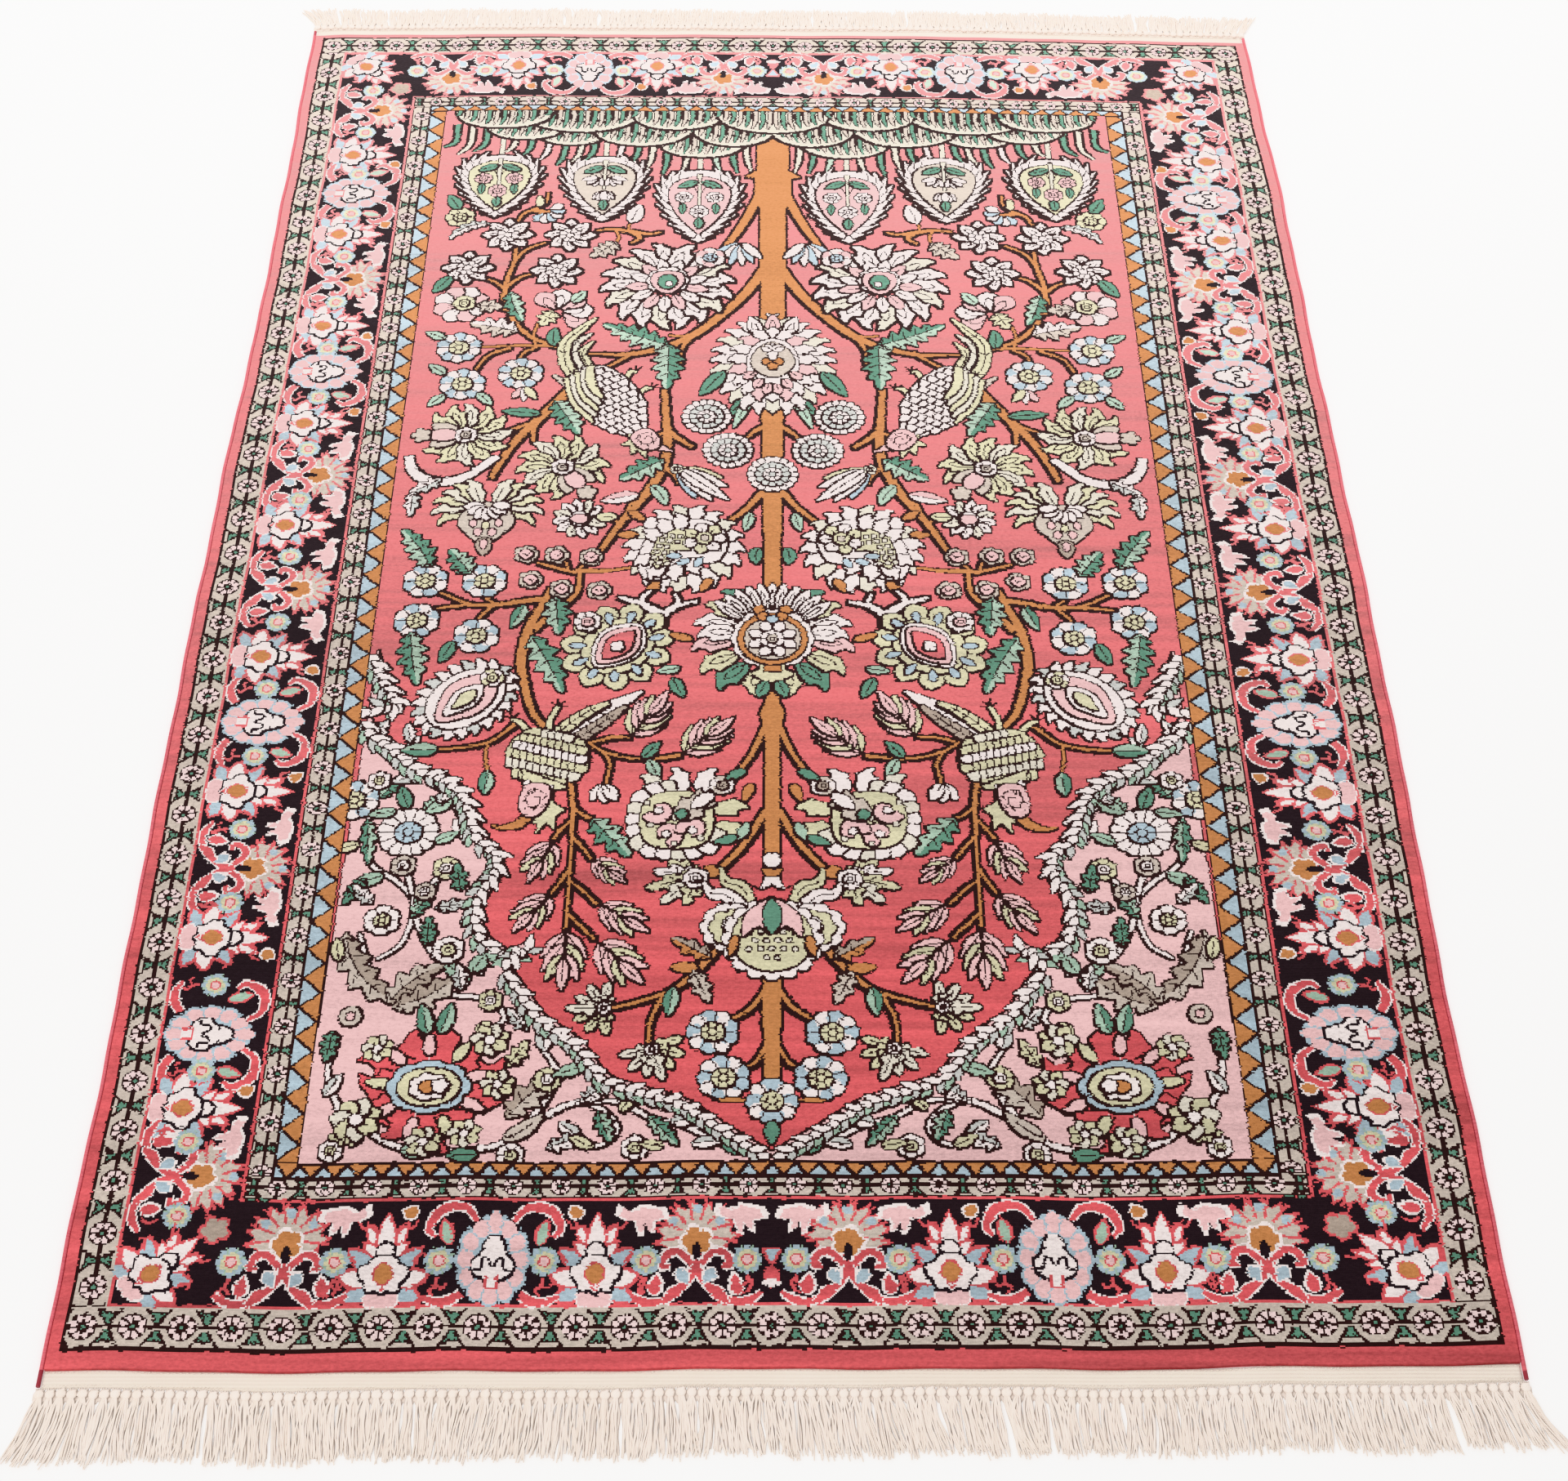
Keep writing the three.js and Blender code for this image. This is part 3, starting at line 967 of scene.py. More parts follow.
def hangingLeaves(chart):
    # where each leaf hangs, its upper end, its tip and its dye
    rows = [(-402, 1700, 1688, "teal"), (-383, 1706, 1672, "cream"), (-364, 1702, 1677, "teal"),
            (-327, 1700, 1676, "cream"), (-306, 1696, 1670, "teal"), (-284, 1690, 1660, "ivory"),
            (-263, 1688, 1648, "teal"), (-243, 1690, 1658, "cream"), (-226, 1692, 1661, "teal"),
            (-191, 1690, 1668, "ivory"), (-170, 1690, 1659, "teal"), (-152, 1690, 1644, "cream"),
            (-133, 1685, 1630, "teal"), (-108, 1678, 1640, "cream"), (-72, 1680, 1640, "sage"),
            (-50, 1690, 1634, "teal"), (-33, 1695, 1636, "cream")]
    for x, top, tip, dye in rows:
        sway = np.select([x < -360, x < -220, x < -100], [-15, -9, -5], 6)
        run = [x + 1j * (top + 30), x + 1j * (top + tip) / 2, x + sway + 1j * (tip - 6)]
        chart.fill(ribbon(run, [13, 13.5, 12.5, 6]), "black", None)
        chart.fill(ribbon(run, [5, 5.6, 5, 1.5]), dye, None)


def hangingDrop(chart, at, tall, ground, flower, stem, lily=False):
    # a leaf-shaped lantern with a barbed pale rim
    here = Spot(chart, complex(*at))
    up = 1j * tall
    here.fill([-3 + up * 0.9, 3 + up * 0.9, 3 + 1j * (tall + stem), -3 + 1j * (tall + stem)], "cream")
    reach = np.array([0, 7, 18, 30, 40, 46, 47, 41, 29, 14, 0])
    half = smooth(reach + up * np.array([0, 0.07, 0.17, 0.3, 0.45, 0.6, 0.74, 0.86, 0.94, 0.985, 1]))
    body = np.concatenate([half, -half[::-1].conjugate()])
    middle = up * 0.55
    chart.bold = 3
    here.fill(body, "ivory")
    for mirror in bothSides(here):
        for i in range(5, len(half) - 7, 5):
            heading = half[i + 1] - half[i - 1]
            out = (-1j * heading / abs(heading) + 1.3 * heading / abs(heading))
            mirror.fill([half[i - 4] * 0.96, half[i - 2] + 4 * out, half[i] + 9.5 * out,
                         half[i + 1] + 2 * out, half[i + 4] * 0.95], "ivory")
    chart.bold = 2
    here.fill(body, "ivory", None)
    for mirror in bothSides(here):
        for i in range(5, len(half) - 7, 5):
            mirror.line([middle + (half[i - 3] - middle) * 0.85, middle + (half[i] - middle) * 1.02])
    here.fill(middle + (body - middle) * 0.8, ground)
    here.fill([-2.2 + up * 0.94, 2.2 + up * 0.94, 1.4 + up * 0.5, -1.4 + up * 0.5], "cream")
    for mirror in bothSides(here):
        leaf(mirror, (3, tall * 0.84), -26, 26, 11, "teal")
        mirror.line(smooth([2 + up * 0.66, 8 + up * 0.76, 17 + up * 0.72]))
        if lily:
            for way in (-112, -80, -48, -20):
                mirror.fill(petal(19, 8, 0.5, way, 9 + up * 0.68), "ivory")
        else:
            rosette(mirror, (19, tall * 0.62), 10.5, 7, [flower], flower)
            leaf(mirror, (20, tall * 0.53), -88, 20, 8.5, "teal")
    if lily:
        for way in (-130, -50, -110, -70, -90):
            here.fill(petal(19, 9, 0.5, way, up * 0.46), "ivory")
    else:
        rosette(here, (0, tall * 0.42), 11.5, 8, [flower], flower)
    leaf(here, (0, tall * 0.32), -90, 19, 10, "teal")


def drawTree(chart):
    trunk = (0, 1712, -8, 1702, -19, 1688, -20, 1634, -34, 1622, -22, 1618, -22, 1572, -16, 1560, -15,
             1476, -16, 1440, -14, 1420, -13, 1300, -12, 1188, -11.5, 1106, -10.5, 1075, -15, 1056, -9.5,
             1040, -8.5, 912, -7, 742, -12, 728, -7, 700, -7, 545, -9, 391, -6, 276, 0, 262)
    half = atPoints(trunk)
    whole = np.concatenate([half, -half[::-1].conjugate()])
    chart.bold = 3
    chart.fill(whole, "ochre")
    # each branch's points, as x and y in turn, and its widths
    runs = [
        ((-14, 1592, -38, 1524, -64, 1468), (15, 13, 10)),
        ((-10, 1440, -34, 1393, -60, 1356, -90, 1321, -121, 1300, -166, 1285, -214, 1286),
         (16, 14, 13, 11, 6)),
        ((-96, 1318, -108, 1316, -122, 1318), (7, 4)),
        ((-98, 1312, -106, 1292, -106, 1268), (9, 7, 5)),
        ((-160, 1289, -182, 1270, -205, 1254), (8, 5)),
        ((-319, 1392, -306, 1345, -284, 1315, -258, 1300, -240, 1294), (10, 9, 9, 8)),
        ((-320, 1380, -318, 1420, -312, 1452, -312, 1484), (10, 9, 8, 7)),
        ((-318, 1398, -331, 1414, -350, 1424), (8, 5)),
        ((-318, 1404, -304, 1422, -288, 1430), (8, 5)),
        ((-312, 1452, -300, 1474, -276, 1490), (8, 6)),
        ((-252, 1299, -290, 1299, -342, 1296), (8, 7, 6)),
        ((-305, 1295, -330, 1282, -343, 1258), (7, 5)),
        ((-275, 1296, -288, 1288, -294, 1276), (7, 5)),
        ((-277, 1300, -280, 1318, -276, 1340), (6, 5)),
        ((-325, 1366, -314, 1362, -306, 1352), (7, 6)),
        ((-234, 1221, -262, 1178, -289, 1136, -306, 1094, -312, 1074), (14, 13, 11, 9)),
        ((-262, 1178, -276, 1164, -300, 1152), (8, 6)),
        ((-264, 1172, -270, 1154, -269, 1134), (9, 7)),
        ((-124, 1224, -121, 1176, -118, 1130, -122, 1096, -136, 1058, -148, 1036, -167, 1003, -186, 962),
         (10, 12, 14, 13, 11, 9)),
        ((-119, 1154, -106, 1140, -90, 1126), (11, 8)),
        ((-121, 1150, -130, 1146, -140, 1136), (8, 7)),
        ((-118, 1092, -108, 1078, -104, 1066), (8, 5)),
        ((-160, 1016, -158, 1030, -152, 1040), (6, 4)),
        ((-168, 1006, -180, 1014, -186, 1018), (6, 3)),
        ((-10, 1160, -20, 1152, -28, 1142), (10, 7)),
        ((-12, 1052, -26, 1030, -46, 1008), (11, 8)),
        ((-212, 930, -232, 936, -254, 944), (8, 5)),
        ((-212, 932, -180, 932, -152, 937), (9, 6)),
        ((-220, 934, -222, 944, -232, 950), (6, 4)),
        ((-208, 934, -202, 942, -198, 946), (6, 4)),
        ((-206, 930, -208, 902, -222, 880, -238, 862, -250, 845), (8, 9, 10, 11)),
        ((-236, 905, -244, 880, -256, 846, -261, 800, -254, 760, -244, 728, -230, 708),
         (9, 11, 14, 12, 10, 8)),
        ((-242, 890, -264, 886, -292, 880, -326, 880, -356, 876), (10, 9, 8, 6)),
        ((-316, 880, -334, 888, -354, 900), (7, 5)),
        ((-296, 880, -306, 866, -312, 856), (7, 5)),
        ((-292, 880, -304, 890, -310, 900), (6, 5)),
        ((-206, 866, -200, 852, -196, 846), (5, 3)),
        ((-186, 688, -164, 695, -144, 696), (6, 6)),
        ((-186, 690, -172, 678, -148, 669, -120, 667, -92, 671), (6, 6, 8)),
        ((-172, 678, -163, 662, -166, 634), (6, 4)),
        ((-262, 712, -284, 690, -312, 682, -338, 680), (7, 6, 4)),
        ((-288, 688, -288, 668, -285, 652), (6, 4)),
        ((-216, 652, -203, 642, -197, 603, -196, 540, -196, 456), (6, 8, 8, 7, 5)),
        ((-196, 604, -186, 594, -178, 590), (6, 4)),
        ((-196, 590, -206, 578, -214, 564), (6, 4)),
        ((-195, 566, -184, 552, -176, 540), (6, 4)),
        ((-196, 528, -204, 512, -213, 497), (6, 4)),
        ((-196, 514, -180, 498, -167, 484), (6, 4)),
        ((-196, 474, -180, 456, -168, 443), (6, 4)),
        ((-6, 712, -22, 670, -44, 634), (10, 8, 7)),
        ((-6, 600, -28, 556, -54, 522), (10, 9, 8)),
        ((-8, 480, -44, 440, -68, 408, -96, 382, -148, 364), (9, 9, 8, 6)),
        ((-100, 380, -112, 350, -114, 322), (7, 5)),
        ((-6, 384, -20, 362, -44, 346), (8, 4)),
        ((-5, 322, -16, 302, -34, 292), (6, 4))]
    branches(chart, runs)
    chart.fill(whole, "ochre", None)


def drawField(chart):
    chart.bold = 2
    spandrel(chart)
    hangingDrop(chart, (-342, 1540), 124, "khaki", "blush", stem=42)
    hangingDrop(chart, (-210, 1532), 130, "beige", "ivory", lily=True, stem=34)
    hangingDrop(chart, (-91, 1491), 143, "blush", "ivory", stem=34)
    drawTree(chart)
    hangingLeaves(chart)
    chart.bold = 3
    bowls(chart)
    chart.bold = 2
    upperField(chart)
    midField(chart)
    lowerField(chart)


upperBird = {
    "at": (-188, 1206),
    "turn": 31,
    "long": 58,
    "wide": 36,
    "tail": [
        ((-206, 1250, -218, 1272, -222, 1288, -210, 1308), (12, 12, 10, 2), "khaki"),
        ((-214, 1244, -230, 1272, -232, 1300, -212, 1322), (12, 13, 11, 2), "cream"),
        ((-222, 1236, -240, 1268, -242, 1304, -224, 1330, -208, 1350), (12, 14, 13, 10, 2), "khaki"),
        ((-216, 1212, -236, 1232, -254, 1248), (14, 10, 2), "beige")],
    "barbEvery": 6,
    "legs": [(-168, 1236, -166, 1252, -158, 1256), (-156, 1212, -146, 1226, -138, 1226)],
    "scaleSteps": (9.8, 10.5),
    "scaleDyes": ("ivory",),
    "wingFeathers": 5,
    "neck": None,
    "headTall": 1.0,
    "crest": [
        4 - 12j, -8 - 16j, -14 - 26j, -16 - 10j, -26 - 14j, -20, -28 + 6j, -16 + 8j, -12 + 18j, -2 + 12j,
        6 + 4j],
    "beak": [-3 - 16j, 9 - 13j, 16 - 34j],
    "beakDye": "blush",
}
lowerBird = {
    "at": (-226, 669),
    "turn": -16,
    "long": 33,
    "wide": 41,
    "tail": [
        ((-216, 690, -198, 708, -176, 728, -134, 758), (36, 33, 25, 3), "ivory"),
        ((-222, 694, -206, 714, -186, 732, -168, 742), (12, 13, 10, 4), "khaki"),
        ((-204, 686, -188, 702, -168, 720, -150, 738), (12, 13, 11, 4), "taupe")],
    "barbEvery": 3,
    "legs": [(-246, 700, -256, 714, -266, 720), (-228, 702, -226, 720, -219, 738)],
    "scaleSteps": (7.4, 11.5),
    "scaleDyes": ("khaki", "ivory", "khaki", "cream"),
    "wingFeathers": 0,
    "neck": [52, 34, 26],
    "headTall": 1.2,
    "crest": [
        4j, 10 - 12j, 4 - 26j, 14 - 22j, 16 - 34j, 22 - 20j, 32 - 26j, 27 - 12j, 34 - 4j, 20, 14 + 10j],
    "beak": smooth([
        -6 - 8j, -4 - 18j, -8 - 27j, -17 - 34j, -29 - 37j, -15 - 38j, -2 - 33j, 5 - 24j, 7 - 10j]),
    "beakDye": "ochre",
}


def upperField(chart):
    for i, way in enumerate((208, 228, 248, 268, 288, 308)):
        leaf(chart, (-36, 1490), way, 46 - 3 * abs(i - 2), 11, ("sky", "ivory")[i % 2], rib=False)
    # the left edge's small things
    rosette(chart, (-384, 1540), 18, 7, ["khaki"], "khaki")
    leaves(chart, [(-386, 1556, 118, 32, 16, "teal"), (-346, 1526, 172, 60, 13, "grey", "ivory", 80, 5)])
    branches(chart,
             [((-313, 1530, -306, 1546, -292, 1556, -280, 1568, -279, 1588), (6, 8, 6, 3)),
              ((-296, 1554, -284, 1550, -270, 1548), (12, 7)),
              ((-216, 1514, -196, 1517, -172, 1512, -150, 1508, -136, 1512), (4, 8, 10, 7, 3)),
              ((-175, 1512, -176, 1524, -172, 1532), (6, 4)),
              ((-170, 1512, -162, 1500, -172, 1490), (11, 5)),
              ((-192, 1516, -188, 1502, -190, 1488), (7, 4))])
    flower = Spot(chart, -280 + 1552j)
    petalRow(flower, 6, 6, 18, 11, ["sky", "ivory"], start=-120, sweep=150, vein=0, kind="plain",
             widest=0.66)
    leaves(chart,
           [(-288, 1560, 92, 22, 10, "khaki", None, 0, 0, False), (-174, 1530, 74, 38, 19, "ivory"),
            (-190, 1492, 232, 42, 24, "beige", None, -20, 4)])
    for at in ((-323, 1505), (-247, 1505), (-367, 1442), (-260, 1436)):
        starFlower(chart, at, 31)
    leaf(chart, (-386, 1426), 238, 36, 16, "teal")
    # the great lotus
    lotus = Spot(chart, -126 + 1410j)
    chart.bold = 3
    petalRow(lotus, 17, 28, 52, 24, ["ivory", "ivory", "cream"], start=96)
    chart.bold = 2
    petalRow(lotus, 13, 20, 29, 14, ["ivory", "blush"], start=100, vein=0.6, kind="plain")
    lotus.fill(lobed(25, 10, 0.12, 9j), "ivory")
    lotus.fill(twoSided([-14j, 10 - 10j, 19 + 6j, 16 + 22j, 26j]), "blush")
    lotus.fill(twoSided([-6j, 10 + 2j, 9 + 14j, 20j]), "teal")
    lotus.fill(circle(4, 2 + 3j, 8), "ivory")
    rosette(chart, (-76, 1462), 18, 6, ["blush", "ivory"], "sky")
    # pink flowers at the left
    petalRow(Spot(chart, -370 + 1374j), 8, 8, 25, 22, ["blush", "ivory"], start=22, kind="plain",
             widest=0.62, vein=0.3)
    rosette(chart, (-366, 1376), 13, 5, ["khaki"], "khaki")
    leaves(chart,
           [(-350, 1372, -6, 30, 19, "beige", None, 0, 3),
            (-312, 1396, -84, 58, 20, "teal", "sage", 24, 4)])
    petalRow(Spot(chart, -254 + 1360j), 5, 5, 36, 25, ["blush", "ivory"], start=-34, sweep=160,
             kind="plain", widest=0.66)
    leaves(chart,
           [(-260, 1362, 246, 30, 22, "khaki", None, 0, 3), (-238, 1378, 54, 26, 14, "sage"),
            (-300, 1324, 160, 58, 28, "ivory", "beige", 10, 4)])
    for at in ((-366, 1296), (-357, 1232), (-291, 1250)):
        rosette(chart, at, 26, 10, ["sky", "ivory"], "khaki")
    for at, way in (((-384, 1312), 150), ((-378, 1250), 140), ((-376, 1214), 228), ((-338, 1216), -48)):
        leaf(chart, at, way, 26, 12, "sage")
    for way, dye in ((-128, "blush"), (-92, "ivory"), (-56, "khaki")):
        leaf(chart, (-284, 1226), way, 24, 9, dye, rib=False)
    leaves(chart,
           [(-254, 1300, 112, 32, 15, "teal", None, -44),
            (-122, 1301, 158, 86, 30, "teal", "sage", -8, 6),
            (-122, 1302, -88, 78, 32, "sage", "teal", -4, 5), (-264, 1181, 174, 44, 14, "teal"),
            (-248, 1204, -62, 64, 30, "teal", "sage", 0, 5)])
    bird(chart, upperBird)
    # yellow star lotuses
    for at, way in (((-346, 1146), 180), ((-234, 1094), -55)):
        here = Spot(chart, complex(*at), turn=way)
        petalRow(here, 11, 12, 40, 19, ["khaki", "khaki", "cream"], start=36, sweep=288, vein=0.6)
        for step in (28, -28, 0):
            here.fill(petal(38, 19, 0.5, step, 6), "beige" if step else "blush")
        here.fill(lobed(11, 5, 0.35, 50), "beige")
        rosette(here, (0, 0), 12, 6, ["ivory"], "beige")
    vine(chart, (-407, 1112, -402, 1092, -388, 1076, -364, 1070, -338, 1080, -308, 1110), 13)
    chart.line(smooth([-398 + 1092j, -382 + 1080j, -360 + 1076j, -334 + 1088j]))
    leaves(chart,
           [(-368, 1074, 214, 40, 16, "ivory", "grey", 0, 3),
            (-396, 1054, -92, 38, 15, "ivory", "grey", 0, 3)])


def midField(chart):
    # the tall palmette on the trunk
    here = Spot(chart, 1268j)
    for way, long, dye in ((-122, 62, "teal"), (-110, 74, "sage")):
        leaf(chart, (-20, 1226), way, long, 12, dye)
    rimOfLeaves(here, 42, 58, 26, 31, 15, ["ivory", "cream", "ivory"])
    petalRow(here, 3, 50, 38, 16, ["ivory", "blush", "ivory"], start=72, sweep=36, kind="plain")
    here.fill(oval(40, 58), "ivory")
    rimOfLeaves(here, 32, 47, 18, 20, 15, ["blush", "ivory", "ivory"])
    here.fill(oval(30, 44), "ivory")
    for mirror in bothSides(here):
        for x, y, way in ((4, -34, -78), (12, -26, -60), (20, -14, -40)):
            mirror.fill(petal(18, 11, 0.5, way, x + 1j * y), "blush")
            mirror.line([x + 1j * y, x + 1j * y + 10 * toward(way)])
    here.fill(twoSided([38j, -17 + 26j, -25 + 5j, -17 - 13j, -23j]), "beige")
    for x, y in ((-6, 4), (6, 4), (0, -4)):
        here.fill(circle(6, x + 1j * y, 10), "ochre")
    here.fill(oval(5, 11, 18j), "ivory")
    petalRow(Spot(here, 22j), 5, 2, 12, 7, ["ivory"], start=24, sweep=132, kind="plain", vein=0)
    leaf(chart, (-56, 1254), 236, 50, 18, "teal")
    for at in ((-75, 1177), (-50, 1121), (0, 1082)):
        wheel(chart, at, 28)
    for i, (step, dye) in enumerate(((26, "khaki"), (-26, "sky"), (14, "ivory"), (-12, "ivory"),
                                     (0, "ivory"))):
        leaf(chart, (-104, 1090), -42 + step, 74 - abs(step) * 0.9, 15, dye)
    rosette(chart, (-107, 1090), 7, 5, ["cream"], "cream")
    leaves(chart,
           [(-122, 1106, 214, 58, 27, "teal", "sage", 0, 4), (-148, 1050, 194, 42, 16, "blush", "ivory"),
            (-134, 1064, -44, 36, 15, "sage", None, -34)])
    # the small lotus, and the yellow one over a grey palmette
    here = Spot(chart, -211 + 1012j)
    petalRow(here, 12, 8, 22, 12, ["ivory", "ivory", "cream"], start=10, kind="plain", vein=0.7)
    here.fill(circle(10.5), "ivory")
    here.fill(oval(8.5, 6.5), "blush")
    leaf(chart, (-192, 1014), 4, 22, 14, "khaki")
    here = Spot(chart, -313 + 1034j)
    for mirror in bothSides(here):
        for step, (way, long) in enumerate(((-32, 56), (-12, 56), (8, 52), (28, 46), (50, 42), (72, 40))):
            Spot(mirror, 8 + 2j, turn=way).fill(flame(long, 15, -1), ("khaki", "cream")[step % 2])
            Spot(mirror, 8 + 2j, turn=way).line([0, long * 0.6])
    here.fill(twoSided([-62j, 18 - 48j, 30 - 30j, 24 - 12j, 2j]), "beige")
    petalRow(here, 7, 6, 20, 11, ["ivory"], start=-170, sweep=160, kind="plain", vein=0)
    for x, y in ((-14, -24), (14, -24), (-8, -38), (8, -38), (0, -28)):
        here.fill(petal(12, 8, 0.5, -90, x + 1j * y), "blush" if x else "khaki")
    here.fill(petal(28, 17, 0.4, -90, -52j), "taupe")
    here.fill(petal(14, 8, 0.4, -90, -56j), "blush")
    # half palmettes that lean to the trunk
    here = Spot(chart, -96 + 966j, turn=-8)
    rimOfLeaves(here, 44, 46, 19, 22, 16, ["ivory", "ivory", "cream"])
    here.fill(ring([-46 - 20j, -38 + 20j, -16 + 40j, 20 + 44j, 44 + 22j, 40 - 12j, 14 - 24j, -6 - 44j,
                    -34 - 50j]), "ivory")
    for x, y, way in (
            (-40, 10, 130), (-30, 28, 110), (-12, 40, 96), (-40, -26, 200), (-24, -42, 230),
            (-2, -36, 260), (18, -20, 280)):
        Spot(here, x * 0.7 + 0.7j * y, turn=way).fill(flame(24, 15, 1), "ivory")
    here.fill([-34 - 18j, -30 + 12j, -12 + 28j, 8 + 20j, 6 - 2j, -8 - 4j, -10 - 20j, -24 - 34j], "khaki")
    for row in range(6):
        for column in range(4):
            x, y = -31 + column * 8.5 + row * 1.5, -26 + row * 8.5
            if -34 < x - 0.4 * y < 4 and (x < -10 or y > 0):
                here.fill(np.array([-2.2 - 2.2j, 2.2 - 2.2j, 2.2 + 2.2j, -2.2 + 2.2j]) + x + 1j * y,
                          "cream")
    petalRow(Spot(here, 20 + 18j), 7, 7, 16, 13, ["ivory", "khaki"], start=8, kind="plain", widest=0.6,
             vein=0.5)
    here.fill(circle(8.5, 20 + 18j, 12), "khaki")
    here.fill(circle(4, 20 + 18j, 8), "beige")
    for x, y, way in ((0, -12, 190), (10, -16, 215), (22, -12, 250)):
        here.fill(petal(16, 8, 0.5, way, x + 1j * y), "sky")
    for x, y, way in ((-56, 42, 150), (-60, 16, 190), (40, -46, 250), (-20, -60, 240)):
        leaf(here, (x * 0.9, y * 0.9), way, 22, 10, "ochre", rib=False)
    leaves(chart, [(-24, 1020, -102, 28, 12, "sage"), (-14, 966, -124, 26, 14, "teal", None, 60)])
    for at in ((-266, 956), (-233, 956), (-196, 953), (-259, 918), (-225, 905), (-185, 903)):
        rosebud(chart, at)
    for at in ((-371, 917), (-308, 916), (-375, 859), (-311, 836)):
        rosette(chart, at, 24, 8, ["sky", "ivory"], "khaki")
    leaves(chart,
           [(-368, 938, 112, 68, 26, "teal", "sage", 18, 5),
            (-324, 928, 124, 44, 24, "sage", "teal", 0, 4),
            (-379, 842, -86, 76, 27, "teal", "sage", 12, 5), (-334, 828, -112, 32, 14, "teal"),
            (-262, 880, -112, 36, 14, "teal", "sage"), (-230, 892, -84, 54, 26, "sage", "teal", 0, 4),
            (-253, 836, -60, 88, 28, "sage", "teal", -10, 5)])
    branches(chart,
             [((-116, 842, -119, 866, -138, 882, -163, 893), (9, 14, 11, 3)),
              ((-119, 862, -104, 878, -80, 886), (13, 9, 3)),
              ((-138, 880, -138, 892, -130, 902), (10, 3)), ((-106, 874, -100, 886, -104, 897), (9, 3)),
              ((-122, 856, -138, 852, -146, 858), (9, 3))], "ivory")
    # the yellow palmette with a red heart
    here = Spot(chart, -162 + 822j, turn=-38)
    rimOfLeaves(here, 34, 40, 11, 24, 25, ["khaki"], kind="plain")
    here.fill(oval(35, 41), "khaki")
    for i in range(11):
        way = 2 * np.pi * (i + 0.5) / 11
        place = 32 * np.cos(way) + 38j * np.sin(way)
        here.fill(petal(17, 8, 0.55, np.degrees(np.angle(place)), place * 0.95), "sky")
    here.fill(twoSided([38j, -18 + 24j, -25 + 4j, -18 - 18j, -36j]), "ivory")
    here.fill(twoSided([33j, -14 + 20j, -20 + 3j, -14 - 15j, -30j]), "blush")
    here.fill(twoSided([26j, -9 + 14j, -13 + 2j, -9 - 11j, -22j]), "ruby")
    here.fill(lobed(7, 4, 0.3), "ivory")
    rosette(chart, (-195, 857), 14, 7, ["ivory"], "blush")
    # the medallion on the trunk
    here = Spot(chart, 832j)
    for mirror in bothSides(here):
        for x, y, way, long, dye in (
                (10, -44, -66, 36, "khaki"), (26, -36, -42, 46, "teal"), (36, -22, -26, 46, "khaki"),
                (40, -2, -8, 46, "blush"), (38, 18, 14, 44, "ivory"), (32, 32, 34, 42, "khaki"),
                (24, 42, 54, 40, "teal"), (38, 8, 4, 40, "ivory")):
            Spot(mirror, x + 1j * y, turn=way).fill(flame(long, 22, -1), dye)
            Spot(mirror, x + 1j * y, turn=way).line(petal(long * 0.7, 9, 0.6, 0))
    petalRow(here, 11, 40, 42, 12, ["ivory"], start=42, sweep=96, kind="plain")
    here.fill(lobed(43, 14, 0.08), "ivory")
    here.fill(mirrored([-13 - 26j, -13 - 44j, -22 - 50j, -66j]), "khaki")
    here.fill([-9 - 26j, -9 - 46j, 9 - 46j, 9 - 26j], "ochre")
    here.fill(circle(36, sides=30), "ochre")
    here.fill(circle(29, sides=26), "beige")
    for i in range(5):
        here.fill(circle(5.5, 42j + 14 * toward(180 + 45 * i), 10), "ochre" if i != 2 else "sky")
    petalRow(here, 8, 8, 18, 11, ["ivory"], start=22, kind="plain", widest=0.6, vein=0)
    rosette(here, (0, 0), 12, 6, ["ivory"], "beige")
    leaves(chart,
           [(-6, 772, -110, 24, 13, "teal"), (6, 772, -70, 24, 13, "teal"),
            (-104, 776, -64, 30, 13, "teal"), (-96, 790, 190, 24, 11, "sage"),
            (-84, 830, 160, 26, 9, "ochre", None, 0, 0, False)])


def rosebud(chart, at):
    here = Spot(chart, complex(*at))
    here.fill(lobed(13, 5, 0.2), "beige")
    for i in range(5):
        out = np.exp(2j * np.pi * i / 5 + 0.3j)
        here.line([out * 4, out * 11])
    here.fill(lobed(7, 4, 0.2), "blush")
    here.line([-3 + 1j, 2 - 2j, 4 + 2j])


